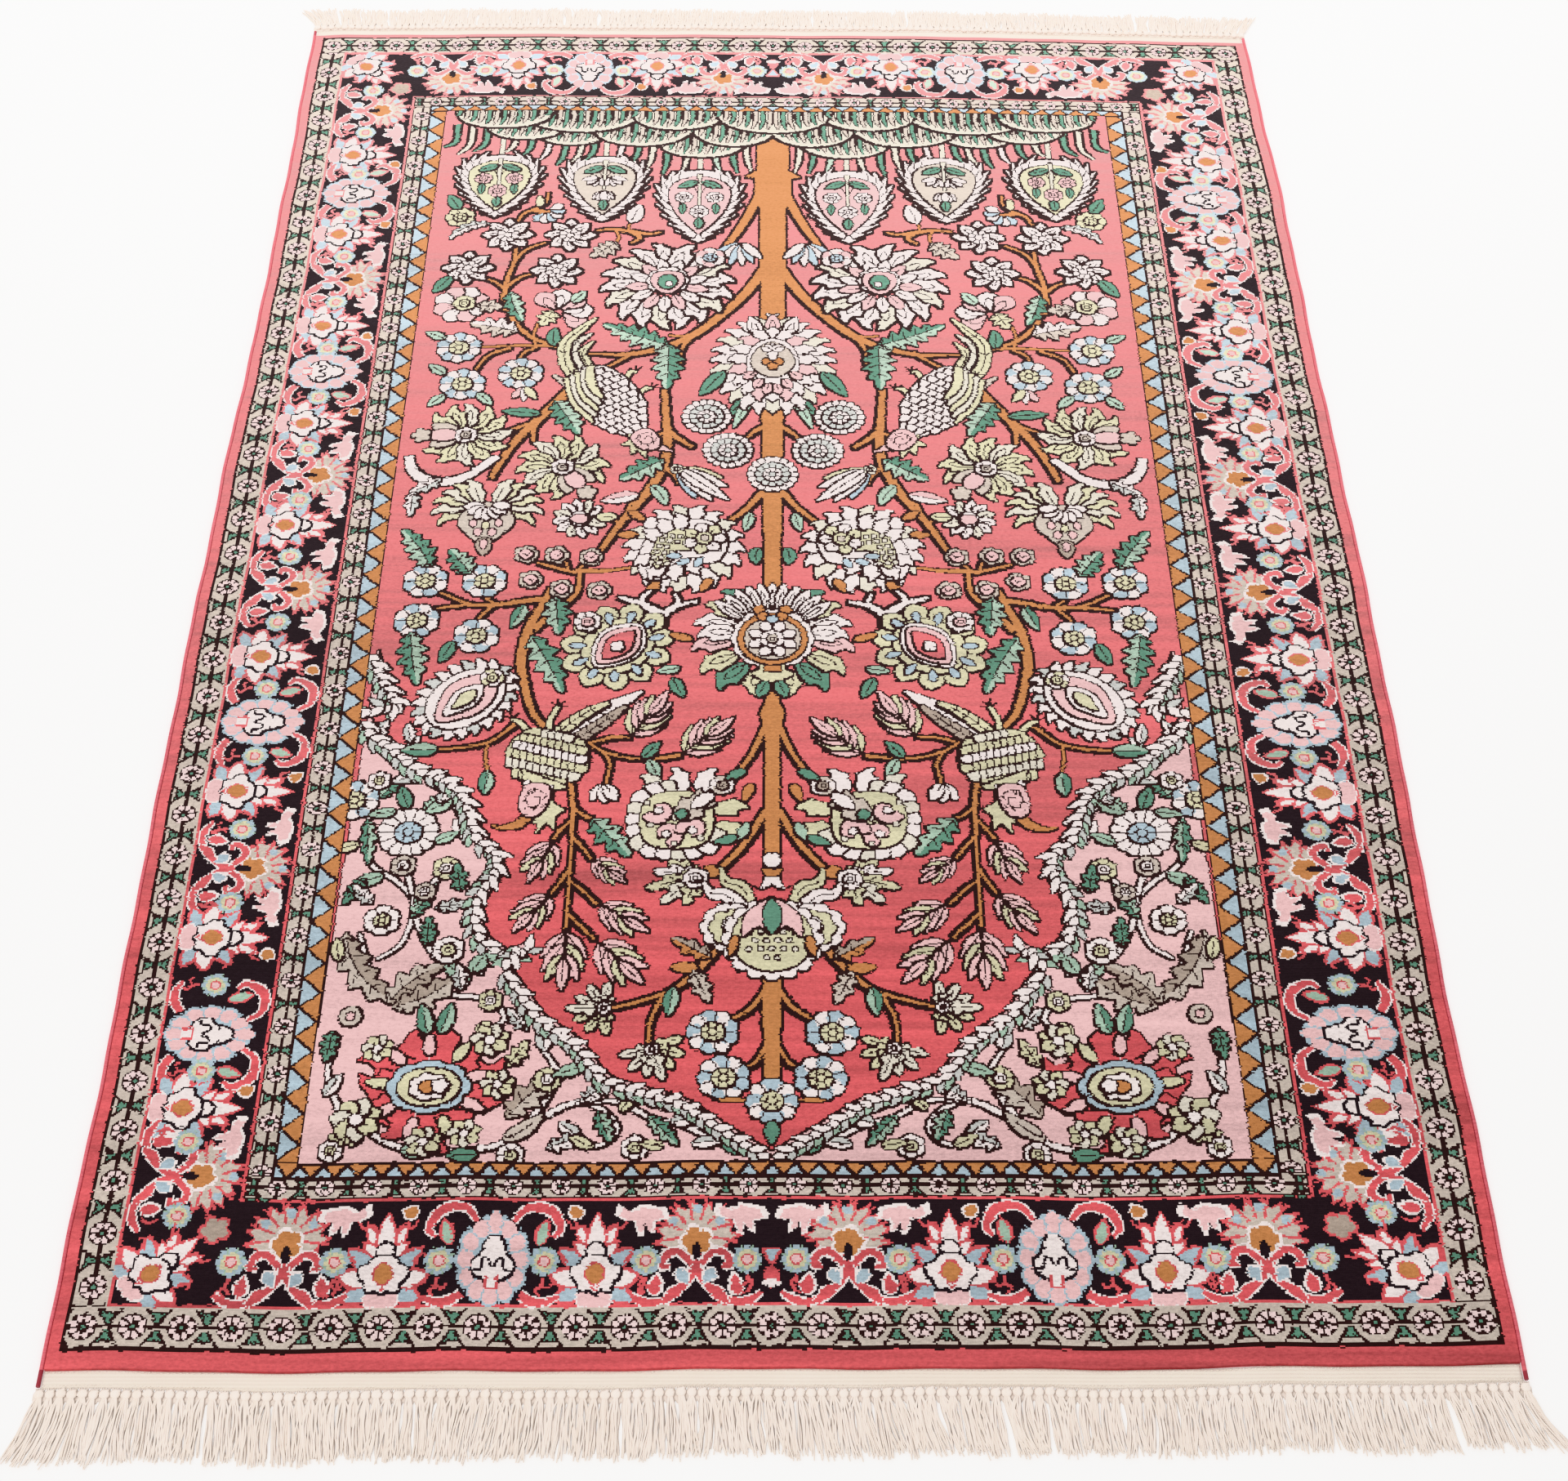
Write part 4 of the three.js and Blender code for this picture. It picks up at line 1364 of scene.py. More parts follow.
def lowerField(chart):
    # an almond palmette in a saw-toothed rim
    here = Spot(chart, -315 + 748j, turn=-42)
    rimOfLeaves(here, 31, 44, 22, 17, 13, ["ivory", "ivory", "grey"])
    here.fill(oval(33, 46), "ivory")
    here.fill(twoSided([42j, -16 + 28j, -24 + 6j, -19 - 16j, -40j]), "blush")
    here.fill(twoSided([24j, -9 + 14j, -13, -9 - 14j, -30j]), "ivory")
    here.fill(twoSided([14j, -5 + 8j, -7, -4 - 8j, -18j]), "khaki")
    rosette(here, (0, 38), 12, 6, ["khaki", "ivory"], "khaki")
    leaves(chart, [(-338, 680, 182, 36, 17, "sage", "teal"), (-285, 650, -92, 30, 15, "teal", "sage")])
    for at, way in (((-144, 694), 60), ((-92, 671), 44)):
        pinnate(chart, at, way, 74, ["blush", "khaki", "blush"], pairs=4)
    leaves(chart, [(-130, 669, 52, 26, 12, "teal"), (-124, 666, -64, 26, 12, "sage")])
    petalRow(Spot(chart, -167 + 634j), 3, 0, 24, 13, ["ivory"], start=-122, sweep=64, kind="plain",
             vein=0.4)
    bird(chart, lowerBird)
    # shells on their branches
    shell(chart, (-94, 588))
    rosette(chart, (-50, 632), 12, 5, ["ivory", "beige"], "taupe")
    for at, way, dye in (
            ((-20, 634), -112, "ochre"), ((-26, 652), -150, "teal"), ((-24, 584), -112, "sage"),
            ((-34, 566), 200, "teal")):
        leaf(chart, at, way, 24, 10, dye, rib=False)
    leaf(chart, (-52, 526), 205, 18, 15, "ochre", rib=False)
    for i, (way, long) in enumerate(((150, 36), (172, 46), (196, 54), (222, 50), (248, 38))):
        leaf(chart, (-70, 518), way, long, 18, ("khaki", "ivory", "khaki", "cream", "khaki")[i], teeth=3)
    rosette(chart, (-74, 515), 12, 5, ["ivory"], "ivory")
    for at, way, long in (
            ((-214, 564), -113, 58), ((-176, 540), -40, 46), ((-213, 498), -126, 58),
            ((-167, 485), -34, 60), ((-196, 456), -91, 72), ((-167, 443), -48, 70)):
        pinnate(chart, at, way, long, ["blush", "blush", "khaki"], pairs=3)
    leaf(chart, (-178, 590), -50, 62, 26, "teal", "sage", teeth=4)
    # the flower at the trunk's foot
    here = Spot(chart, 470j)
    for mirror in bothSides(here):
        for points in ([18 + 14j, 30 + 34j, 44 + 40j, 50 + 58j], [28 + 6j, 44 + 24j, 58 + 26j, 66 + 40j]):
            mirror.fill(ribbon(points, [16, 14, 10, 2]), "khaki" if points[0].imag > 10 else "ivory")
            mirror.line(smooth(points)[3:-5])
        mirror.fill(lobed(29, 10, 0.16, 40 - 14j), "ivory")
        mirror.fill(lobed(21, 7, 0.16, 39 - 14j), "khaki")
        mirror.fill(circle(11, 36 - 12j), "ivory")
        mirror.fill(circle(5, 34 - 12j, 8), "blush")
    here.fill(lobed(48, 16, 0.13, -28j), "ivory")
    here.fill(circle(38, -27j), "khaki")
    for row in range(4):
        for column in range(-2, 3):
            if abs(column) + row < 5:
                x, y = column * 11 + 5.5 * (row % 2), -20 - row * 10
                here.fill(circle(2.4, x + 1j * y, 8), "cream")
    here.fill(twoSided([20j, 24 + 2j, 28 - 24j, 14 - 12j, -22j]), "blush")
    here.fill(petal(42, 18, 0.5, 90, -22j), "teal")
    here.line([-20j, 14j])
    here.fill([-20 + 36j, -11 + 28j, 40j, 11 + 28j, 20 + 36j, 14 + 18j, 24j, -14 + 18j], "ruby")
    here.fill([-11 + 32j, -6 + 48j, -9 + 56j, 9 + 56j, 6 + 48j, 11 + 32j, 38j], "ivory")
    here.fill([-10 + 56j, 10 + 56j, 5 + 47j, -5 + 47j], "ochre")
    here.fill(lobed(9, 6, 0.2, 67j), "ivory")
    for at in ((-55, 336), (-44, 286), (0, 261)):
        rosette(chart, at, 24, 9, ["sky", "ivory"], "khaki")
    leaf(chart, (0, 240), -90, 24, 13, "teal")
    for side in (-1, 1):
        leaf(chart, (24 * side, 262), 90 - 90 * side, 24, 5, "ochre", rib=False)
    for at, way in (((-156, 364), 180), ((-110, 318), -72)):
        here = Spot(chart, complex(*at), turn=way)
        for i, step in enumerate((-96, 96, -60, 60, -26, 26, 0)):
            leaf(here, (0, 0), step, 30 if step else 36, 13, "khaki" if i % 2 else "cream", teeth=2)
        rosette(here, (0, 0), 6, 5, ["ivory"], "ivory")
    leaves(chart,
           [(-58, 420, 148, 44, 17, "taupe", "ochre", 0, 3),
            (-70, 408, 176, 26, 12, "ochre", None, 0, 0, False),
            (-74, 404, -66, 38, 17, "beige", None, 0, 3), (-92, 386, -98, 32, 13, "teal", "sage"),
            (-34, 446, -104, 24, 9, "ochre", None, 0, 0, False)])


def shell(chart, at):
    # a rim of square scallops with curls inside, and a bell-like flower that points back to the branch
    here = Spot(chart, complex(*at))
    for x, y, way in ((4, 34, 96), (22, 34, 74), (-16, 30, 116), (36, 10, 20), (36, -10, -6)):
        Spot(here, x + 1j * y, turn=way).fill(flame(34, 18, 1 if x < 10 else -1),
                                              ("khaki", "ivory", "cream")[int(x) % 3])
    tile = np.array([34 - 8j, 50 - 8.5j, 53, 50 + 8.5j, 34 + 8j])
    for way in range(104, 345, 19):
        out = toward(way)
        square = (out.real**4 + out.imag**4) ** -0.25
        here.fill(tile * out * (0.4 + 0.55 * square), ("ivory", "ivory", "cream")[way % 3])
    here.fill(oval(36, 36) * np.power(oval(1, 1).real**4 + oval(1, 1).imag**4, -0.14), "khaki")
    for x, y, way, flip in ((-18, 12, 200, False), (-10, -18, 280, False), (16, -14, 10, True)):
        mirror = Spot(here, x + 1j * y, turn=way, flip=flip)
        turns = np.linspace(0, 1.6 * np.pi, 9)
        mirror.fill(ribbon((13 - 1.7 * turns) * np.exp(1j * turns), [9, 9, 7, 4]), "blush")
        mirror.fill(circle(4, sides=8), "ivory")
    for x, y in ((-26, -6), (-2, -30), (-2, 2), (24, -24), (-30, 22)):
        here.fill(circle(2.6, x + 1j * y, 8), "cream")
    horn = Spot(here, 2 + 4j, turn=42)
    horn.fill([-8j, 18 - 15j, 22 - 9j, 38 - 13j, 34, 38 + 13j, 22 + 9j, 18 + 15j, 8j], "beige")
    horn.fill(petal(30, 13, 0.5, 0, 16), "ivory")
    horn.fill(circle(6, 4, 10), "teal")


def spandrel(chart):
    edge = (-411, 816, -404, 796, -392, 770, -378, 740, -390, 730, -408, 728, -402, 706, -384, 690, -354,
            660, -326, 646, -303, 624, -292, 596, -283, 568, -264, 548, -262, 520, -275, 492, -276, 462,
            -268, 444, -248, 430, -234, 438, -236, 424, -243, 408, -230, 386, -212, 358, -176, 328, -150,
            292, -120, 279, -80, 264, -44, 238, 0, 207)
    curve = smooth(atPoints(edge), steps=5)
    chart.fill(np.concatenate([curve, [200j, -420 + 200j]]), "blush")
    scrolls(chart)
    # along the edge: two rows of small leaves, which make a feathered band
    walk = np.concatenate([[0], np.cumsum(np.abs(np.diff(curve)))])
    heading = np.gradient(curve) / np.abs(np.gradient(curve))

    steps = np.arange(3, walk[-1] - 2, 9.5)
    places = np.interp(steps, walk, curve.real) + 1j * np.interp(steps, walk, curve.imag)
    ahead = np.interp(steps, walk, heading.real) + 1j * np.interp(steps, walk, heading.imag)
    places = places - 1j * ahead * 9
    for i, (place, way) in enumerate(zip(places, ahead)):
        size = 0.98 - 0.25 * i / 86
        outer = petal((26, 19, 22)[i % 3], 8.5, 0.4, (-26, -38, -32)[i % 3], 0, 1.2)
        inner = petal((17, 25)[i % 2], 9.5, 0.4, (22, 40)[i % 2], 0, 1.1)
        chart.fill(place + size * outer * way, ("sage", "grey")[i % 2])
        chart.fill(place + size * inner * way, "ivory")


def vine(chart, points, width):
    chart.fill(ribbon(atPoints(points), [width * 0.7, width, width, width * 0.6]), "ivory")


def scrolls(chart):
    for points, width in (
            ((-404, 716, -386, 690, -366, 664, -340, 640, -322, 618, -306, 590, -300, 560), 5),
            ((-410, 640, -398, 600, -396, 556, -386, 530, -362, 512, -344, 486, -350, 440, -372, 420), 4),
            ((-347, 508, -342, 478, -334, 452, -318, 424, -298, 410, -272, 402), 4),
            ((-346, 500, -330, 508, -318, 524), 4), ((-346, 496, -350, 512, -356, 528), 4),
            ((-392, 452, -370, 392, -336, 376, -300, 378, -262, 372, -248, 352, -262, 336), 4),
            ((-400, 330, -404, 296, -392, 262, -372, 240, -330, 214, -280, 210, -240, 218, -206, 246,
              -170, 262, -140, 240, -144, 222, -160, 214), 5),
            ((-232, 226, -206, 260, -196, 292, -210, 320), 4),
            ((-176, 260, -140, 262, -108, 244, -80, 236, -50, 218, -20, 208), 4)):
        vine(chart, points, width)
    # grey scrolls with saw-toothed backs
    leaves(chart,
           [(-404, 452, -84, 108, 27, "beige", "taupe", 60, 5),
            (-356, 370, 62, 66, 26, "taupe", "beige", -40, 4),
            (-352, 366, 12, 74, 25, "beige", "taupe", 40, 4)])
    chart.fill(circle(10, -390 + 356j), "beige")
    chart.fill(circle(4, -390 + 356j, 8), "blush")
    leaves(chart,
           [(-238, 244, 60, 70, 25, "beige", "taupe", -30, 4),
            (-240, 222, 24, 44, 14, "beige", None, 30)])
    rosette(chart, (-357, 573), 30, 14, ["ivory"], "sky")
    rosette(chart, (-414, 615), 24, 10, ["sky", "ivory"], "khaki")
    for at, way, long, dye, second in (
            ((-344, 602), 40, 32, "teal", "sage"), ((-360, 604), 110, 30, "teal", None),
            ((-388, 618), 60, 32, "teal", "sage"), ((-398, 590), -84, 56, "teal", "sage"),
            ((-376, 520), 200, 30, "sage", None), ((-344, 470), 62, 44, "teal", "sage"),
            ((-326, 436), 92, 34, "teal", None), ((-306, 414), -40, 30, "sage", None),
            ((-282, 404), 60, 26, "sage", None), ((-404, 340), -96, 34, "teal", None),
            ((-374, 668), 60, 34, "ivory", "grey"), ((-350, 648), 200, 30, "ivory", "grey"),
            ((-318, 612), 210, 28, "sage", None), ((-300, 566), 120, 26, "ivory", None),
            ((-156, 252), -70, 34, "teal", "sage"), ((-172, 262), 40, 34, "ivory", "grey"),
            ((-110, 246), -50, 40, "sage", "teal"), ((-90, 238), 20, 30, "ivory", "grey"),
            ((-394, 516), 240, 34, "teal", None), ((-208, 318), 100, 26, "ivory", "grey"),
            ((-262, 206), 180, 26, "teal", None), ((-44, 220), -30, 26, "teal", None)):
        leaf(chart, at, way, long, 14, dye, second, teeth=0 if long < 32 else 4)
    for at, radius, dye in (
            ((-358, 532), 12, "beige"), ((-316, 528), 13, "khaki"), ((-334, 500), 10, "beige"),
            ((-372, 466), 17, "ivory"), ((-306, 430), 15, "ivory"), ((-262, 372), 11, "khaki"),
            ((-264, 338), 10, "khaki"), ((-204, 286), 12, "khaki"), ((-122, 214), 12, "ivory"),
            ((-232, 206), 12, "ivory"), ((-392, 640), 11, "ivory"), ((-392, 212), 11, "ivory")):
        rosette(chart, at, radius, 6, [dye], "khaki" if dye == "ivory" else "ivory")
    for at, way, long, dye in (
            ((-366, 690), 100, 26, "ivory"), ((-408, 690), 60, 34, "ivory"),
            ((-330, 610), 70, 30, "ivory"), ((-404, 560), 200, 26, "khaki"),
            ((-372, 600), 190, 26, "sage"), ((-330, 560), 30, 26, "sage"),
            ((-384, 486), 130, 30, "ivory"), ((-322, 480), 10, 30, "grey"),
            ((-300, 500), 100, 34, "teal"), ((-292, 468), 60, 26, "ivory"),
            ((-408, 420), 100, 26, "khaki"), ((-290, 384), 100, 30, "ivory"),
            ((-226, 340), 130, 30, "ivory"), ((-240, 300), 60, 32, "khaki"),
            ((-404, 270), 60, 26, "ivory"), ((-366, 222), 170, 30, "khaki"),
            ((-330, 212), -10, 28, "sage"), ((-190, 240), -40, 28, "ivory"),
            ((-200, 214), 20, 34, "ivory"), ((-160, 214), 150, 24, "khaki"),
            ((-136, 252), 60, 24, "khaki"), ((-96, 214), 170, 22, "khaki"), ((-70, 216), 10, 26, "ivory"),
            ((-254, 262), 100, 40, "ivory"), ((-172, 300), 200, 28, "sage")):
        leaf(chart, at, way, long, 0.42 * long, dye, "grey" if dye == "ivory" else None, teeth=3
             if long > 28 else 0)
    # the red medallion
    here = Spot(chart, -311 + 278j)
    for i in range(11):
        Spot(here, turn=33 * i + 14).fill(14 + flame(58 - 8 * (i % 2), 30, (-1) ** i), "ruby")
    here.fill(circle(33), "ruby", None)
    for i in range(9):
        out = toward(40 * i + 14)
        here.line([out * 30, out * 56], "blush")
        leaf(here, ((out * 34).real, (out * 34).imag), 40 * i + 14, 24, 10,
             ("blush", "khaki", "blush")[i % 3], rib=False)
    for x, y, radius in (
            (-62, -34, 20), (62, 2, 13), (52, 50, 15), (-50, 42, 12), (0, -58, 13), (36, -50, 12)):
        petalRow(Spot(here, x + 1j * y), 7, 3, radius, radius * 0.8, ["khaki", "cream"], start=20,
                 kind="plain", vein=0.4)
        here.fill(circle(radius * 0.3, x + 1j * y, 8), "ivory")
    for way in (76, 104):
        leaf(here, (-6 if way > 90 else 6, 58), way, 34, 14, "sage", "teal")
    here.fill(lobed(38, 8, 0.1, 0, 0.74), "sky")
    here.fill(oval(28, 20), "khaki")
    here.fill(lobed(18, 7, 0.2, 0, 0.8), "ivory")
    here.fill(oval(8, 6), "ochre")
    here.fill(lobed(7, 5, 0.2, 10 + 1j), "ivory")


# The pile.

pileLook = {
    "thickness": 5.0,       # mm, with the foundation
    "rim": 0.9,             # mm that the pile is lower at its edge
    "settled": 0.22,        # mm that it lies lower than its full thickness, on the average
    "swells": (0.12, 0.1),  # mm, its long waves
    "beside": 4.5,          # mm at each side, for the cords
    "width": 1216,
    "cells": (144, 455),    # cells of the mesh across and along
    "cellKnots": (6, 3),    # and the knots in each
    "fieldLeft": -417.5,    # where the knotted field's sides and the tree's axis came out, in mm
    "axis": -7.6,
    "fieldRight": 410.0,
    "flat": (1.21, 1.93),   # m
    "silk": {"Roughness": 0.66, "Sheen_Weight": 0.1, "Sheen_Roughness": 0.45, "Specular_IOR_Level": 0.14},
    "sheen": (1.0, 0.86, 0.84),
    "streaks": (1.2, 17, 1),        # how often the noises change along each axis, per metre
    "shots": (4, 110, 1),
    "tufts": (230, 420, 230),
    "patches": 2.3,
    "uneven": (1.3, 0.9, 0.1),      # the strength of streaks, shots and patches
    "sheenFrom": 0.55,               # m before the middle where the painted sheen begins, and over how long it grows
    "sheenOver": 1.35,
    "speckles": [(0.3, (0.66,) * 3), (0.7, (1.16,) * 3)],
    "relief": 0.0005,
}


def knotAttribute(mesh, chart):
    # each cell's knots as digits in base sixteen: one number for each of its rows
    (across, along), (columns, rows) = pileLook["cells"], pileLook["cellKnots"]
    cells = chart.whole().astype(float).reshape(along, rows, across, columns)
    packed = np.sum(cells * 16.0 ** np.arange(columns), axis=3).transpose(0, 2, 1).reshape(-1, rows)
    values = np.zeros((len(mesh.polygons), rows), np.float32)
    values[: len(packed)] = packed
    mesh.attributes.new("knots", "FLOAT_VECTOR", "FACE").data.foreach_set("vector", values.ravel())


def isEdge(part):
    return isinstance(part, bmesh.types.BMEdge) and part.is_boundary


def isVertex(part):
    return isinstance(part, bmesh.types.BMVert)


def makePile(chart):
    (across, along), (columns, rows) = pileLook["cells"], pileLook["cellKnots"]
    bm = bmesh.new()
    bmesh.ops.create_grid(bm, x_segments=across, y_segments=along, size=0.5)
    cells = len(bm.faces)
    rim = [edge for edge in bm.edges if edge.is_boundary]
    # the rim goes down in two steps, to levels that stand for half the height and for the floor
    for drop in (0.45, 0.8):
        made = bmesh.ops.extrude_edge_only(bm, edges=rim)["geom"]
        bmesh.ops.translate(bm, vec=(0, 0, -drop), verts=[part for part in made if isVertex(part)])
        rim = [part for part in made if isEdge(part)]
    bmesh.ops.contextual_create(bm, geom=rim)
    mesh = meshFrom(bm, "pile_cloth")
    place = np.zeros(len(mesh.vertices) * 3)
    mesh.vertices.foreach_get("co", place)
    place = place.reshape(-1, 3)
    u, v, level = place[:, 0] + 0.5, place[:, 1] + 0.5, place[:, 2]
    straight = (u - 0.5) * pileLook["width"]
    near, far = edgeAt("near", straight), edgeAt("far", straight)
    y = near + (far - near) * v
    left, right = edgeAt("left", y) + pileLook["beside"], edgeAt("right", y) - pileLook["beside"]
    # the chart's even columns are drawn out to where the field and the tree's axis really lie
    fieldLeft, axis, fieldRight = (pileLook[key] for key in ("fieldLeft", "axis", "fieldRight"))
    field = halfWidth - bands["side"]["teeth"]
    ideal = (u * 2 - 1) * halfWidth
    x = np.select([ideal < -field, ideal < 0, ideal < field],
                  [left + (ideal + halfWidth) / (halfWidth - field) * (fieldLeft - left),
                   fieldLeft + (ideal + field) / field * (axis - fieldLeft),
                   axis + ideal / field * (fieldRight - axis)],
                  fieldRight + (ideal - field) / (halfWidth - field) * (right - fieldRight))
    thick = pileLook["thickness"]
    onRim = (u < 1e-4) | (u > 1 - 1e-4) | (v < 1e-4) | (v > 1 - 1e-4)
    first, second = pileLook["swells"]
    height = thick + first * np.sin(x / 61 + 1.3 * np.sin(y / 140)) + second * np.sin(y / 47 + x / 210)
    height = np.where(onRim, thick - pileLook["rim"], height - pileLook["settled"])
    z = np.select([level < -1, level < -0.1], [0.0, thick * 0.5], height)
    place[:] = np.stack([x, y, z], axis=1) / 1000
    mesh.vertices.foreach_set("co", place.ravel())
    loops = np.zeros(len(mesh.loops), int)
    mesh.loops.foreach_get("vertex_index", loops)
    cell = mesh.uv_layers.new(name="cell")
    corners = np.zeros((len(mesh.loops), 2))
    inCells = loops[: cells * 4].reshape(cells, 4)
    number = np.arange(cells)
    corners[: cells * 4, 0] = ((u[inCells] * across - (number % across)[:, None]) * columns).ravel()
    corners[: cells * 4, 1] = ((v[inCells] * along - (number // across)[:, None]) * rows).ravel()
    cell.data.foreach_set("uv", corners.ravel())
    whole = mesh.uv_layers.new(name="OFBake")
    whole.data.foreach_set("uv", np.stack([u[loops], v[loops]], axis=1).ravel())
    mesh.update()
    knotAttribute(mesh, chart)
    return mesh


def pileFinish():
    look = pileLook
    finish = Finish("silk pile", **look["silk"])
    finish.shader.inputs["Sheen Tint"].default_value = colour(*look["sheen"])
    # the knot's place in its cell picks its digit, and the digit its dye
    knotted = finish.split(finish.node("ShaderNodeAttribute", {"attribute_name": "knots"}, out="Vector"))
    u, v, _ = finish.split(finish.node("ShaderNodeUVMap", {"uv_map": "cell"}))
    column, row = u.floor().held(0, 5), v.floor().held(0, 2)
    second, third = row > 0.5, row > 1.5
    first = knotted[0] * (1 - second) + knotted[1] * second
    value = first * (1 - third) + knotted[2] * third
    share = ((value / 16.0**column).floor() % 16 + 0.5) / 16
    dye = finish.ramp(share, [(i / 16, shade) for i, shade in enumerate(dyes.values())], "CONSTANT")
    # each dye's share of painted sheen, which also sets how strongly it is streaked
    pale = finish.ramp(share, [(i / 16, (sheenAndStreakShare.get(name, 0.0),) * 3) for i, name in enumerate(dyes)],
                       "CONSTANT")
    # the reds above all are streaked, and a painted sheen makes them paler towards the far end
    place = finish.place()
    streaks = finish.noise(finish.stretch(place, look["streaks"]), 1.0, 3.0, 0.62)
    tufts = finish.noise(finish.stretch(place, look["tufts"]), 1.0, 3.0, 0.65)
    patches = finish.noise(place, look["patches"], 2.0)
    shots = finish.noise(finish.stretch(place, look["shots"]), 1.0, 2.0)
    ofStreaks, ofShots, ofPatches = look["uneven"]
    uneven = ofStreaks * (streaks - 0.5) + ofShots * (shots - 0.5) + ofPatches * (patches - 0.5)
    tone = 0.99 + uneven * (pale * 0.65 + 0.35)
    grey = finish.node("ShaderNodeCombineColor", None, {0: tone, 1: tone, 2: tone})
    toned = finish.blend(1.0, dye, grey, "MULTIPLY")
    # painted sheen: each dye blends towards the sheen colour by its own share, a little everywhere and
    # more towards the far end
    paintedSheen = ((finish.split(place)[1] + look["sheenFrom"]) / look["sheenOver"]).held(0, 1)
    toned = finish.blend((paintedSheen * 0.19 + 0.03) * pale, toned, colour(*look["sheen"]))
    speckled = finish.blend(0.7, toned, finish.ramp(tufts, look["speckles"]), "MULTIPLY")
    knotHeight = (u * 6.2832).sine() * 0.2 + (v * 6.2832).sine() * 0.3 + tufts
    return finish.feed(Base_Color=speckled, Normal=finish.bump(knotHeight, look["relief"], 0.5))


# Tubes, and rows of small things.

def applied(holder):
    # the mesh that an object comes to with its modifiers; the object itself goes
    scene.collection.objects.link(holder)
    bpy.context.view_layer.update()
    mesh = bpy.data.meshes.new_from_object(holder.evaluated_get(bpy.context.evaluated_depsgraph_get()))
    bpy.data.objects.remove(holder)
    return mesh


def tubes(name, runs, roundness=0):
    # one mesh from many yarns, each a row of points with a radius at each
    curve = bpy.data.curves.new(name, "CURVE")
    curve.dimensions = "3D"
    curve.bevel_depth = 1.0
    curve.bevel_resolution = roundness
    curve.use_fill_caps = True
    for points, radii in runs:
        spline = curve.splines.new("POLY")
        spline.points.add(len(points) - 1)
        places = np.concatenate([np.asarray(points) / 1000, np.ones((len(points), 1))], 1)
        spline.points.foreach_set("co", places.ravel())
        spline.points.foreach_set("radius", np.asarray(radii) / 1000)
    mesh = applied(bpy.data.objects.new(name, curve))
    bpy.data.curves.remove(curve)
    return mesh


def rowOf(name, bm, spots):
    # copies of one small shape from an array, each then sized, turned and set down
    size = len(bm.verts)
    holder = bpy.data.objects.new(name, meshFrom(bm, name))
    array = holder.modifiers.new("row", "ARRAY")
    array.count, array.use_relative_offset = len(spots), False
    mesh = applied(holder)
    place = np.zeros(len(mesh.vertices) * 3)
    mesh.vertices.foreach_get("co", place)
    place = place.reshape(len(spots), size, 3)
    at, scale, turn = (np.array([spot[i] for spot in spots], float) for i in range(3))
    place = place * scale[:, None, :]
    flat = (place[:, :, 0] + 1j * place[:, :, 1]) * np.exp(1j * turn)[:, None]
    place = np.stack([flat.real, flat.imag, place[:, :, 2]], axis=2) + at[:, None, :]
    mesh.vertices.foreach_set("co", (place / 1000).ravel())
    mesh.update()
    return mesh


def joined(name, meshes):
    bm = bmesh.new()
    for mesh in meshes:
        bm.from_mesh(mesh)
        bpy.data.meshes.remove(mesh)
    return meshFrom(bm, name)


# The overcast sides.

selvedge = {
    "width": 4.2,           # mm
    "height": 4.3,
    "wrapPitch": 1.45,
    "waist": 0.9,           # its width between two turns of the yarn
    "nearStub": 15.3,       # how far the cord runs on beside the flat-woven ends
    "farStub": 12.3,
    "darkPast": (-0.955, 0.976),    # m, where these stubs begin
    "shadow": (0.40, 0.055, 0.075),
    "light": (0.72, 0.16, 0.19),
    "stub": (0.28, 0.03, 0.045),
}


def makeSelvedge(side, inward):
    near, far = float(edgeAt("near", edgeAt(side, 0))), float(edgeAt("far", edgeAt(side, 0)))
    y = np.arange(near - selvedge["nearStub"], far + selvedge["farStub"], selvedge["wrapPitch"] / 2)
    x = edgeAt(side, y) + inward * selvedge["width"] / 2
    points = np.stack([x, y, np.full(len(y), selvedge["height"] / 2)], axis=1)
    radii = np.where(np.arange(len(y)) % 2, 1.0, selvedge["waist"]) * selvedge["width"] / 2
    return tubes("selvedge_" + side + "_cord", [(points, radii)], 2)


def selvedgeFinish():
    finish = Finish("overcast silk", Roughness=0.6, Sheen_Weight=0.3, Sheen_Roughness=0.45)
    place = finish.place()
    _, y, _ = finish.split(place)
    shade = finish.noise(finish.stretch(place, (60, 700, 60)), 1.0, 2.0)
    long = finish.noise(finish.stretch(place, (1, 9, 1)), 1.0, 2.0)
    body = finish.ramp(shade * 0.6 + long * 0.4, [(0.25, selvedge["shadow"]), (0.75, selvedge["light"])])
    near, far = selvedge["darkPast"]
    stub = (y > far) + (1 - (y > near))
    dark = finish.blend(stub.held(0, 1), body, colour(*selvedge["stub"]))
    return finish.feed(Base_Color=dark, Normal=finish.bump(shade, 0.0003, 0.6))


# The flat-woven ends.

kilimLook = {
    "thickness": 1.8,       # mm
    "near": 16.0,           # how deep each end is
    "far": 13.0,
    "cellsAcross": 420,
    "cellsDeep": 10,
    "inset": 4.5,
    "rim": 0.3,
    "settled": 0.24,
    "ripples": (0.12, 0.1),
    "stitches": [           # a row of slanting ones where the pile begins, and a twined line further out
        {"share": 0.1, "pitch": 5.2, "size": (4.0, 1.5, 0.9), "lean": 16},
        {"share": 0.86, "pitch": 3.2, "size": (3.4, 0.9, 0.7), "lean": 24},
    ],
    "ribs": (1.45, 1.1),    # mm from rib to rib, across and along
    "shots": 3.4,           # mm between the stouter wefts
    "light": (0.97, 0.89, 0.80),
    "shadow": (0.74, 0.63, 0.53),
    "relief": 0.0004,
}


def outward(end):
    return -1 if end == "near" else 1


def kilimEdge(end, x):
    out = outward(end)
    return edgeAt(end, x) + out * (edges["gap"] + kilimLook[end]) + 0.5 * wander(x, 5 + out)


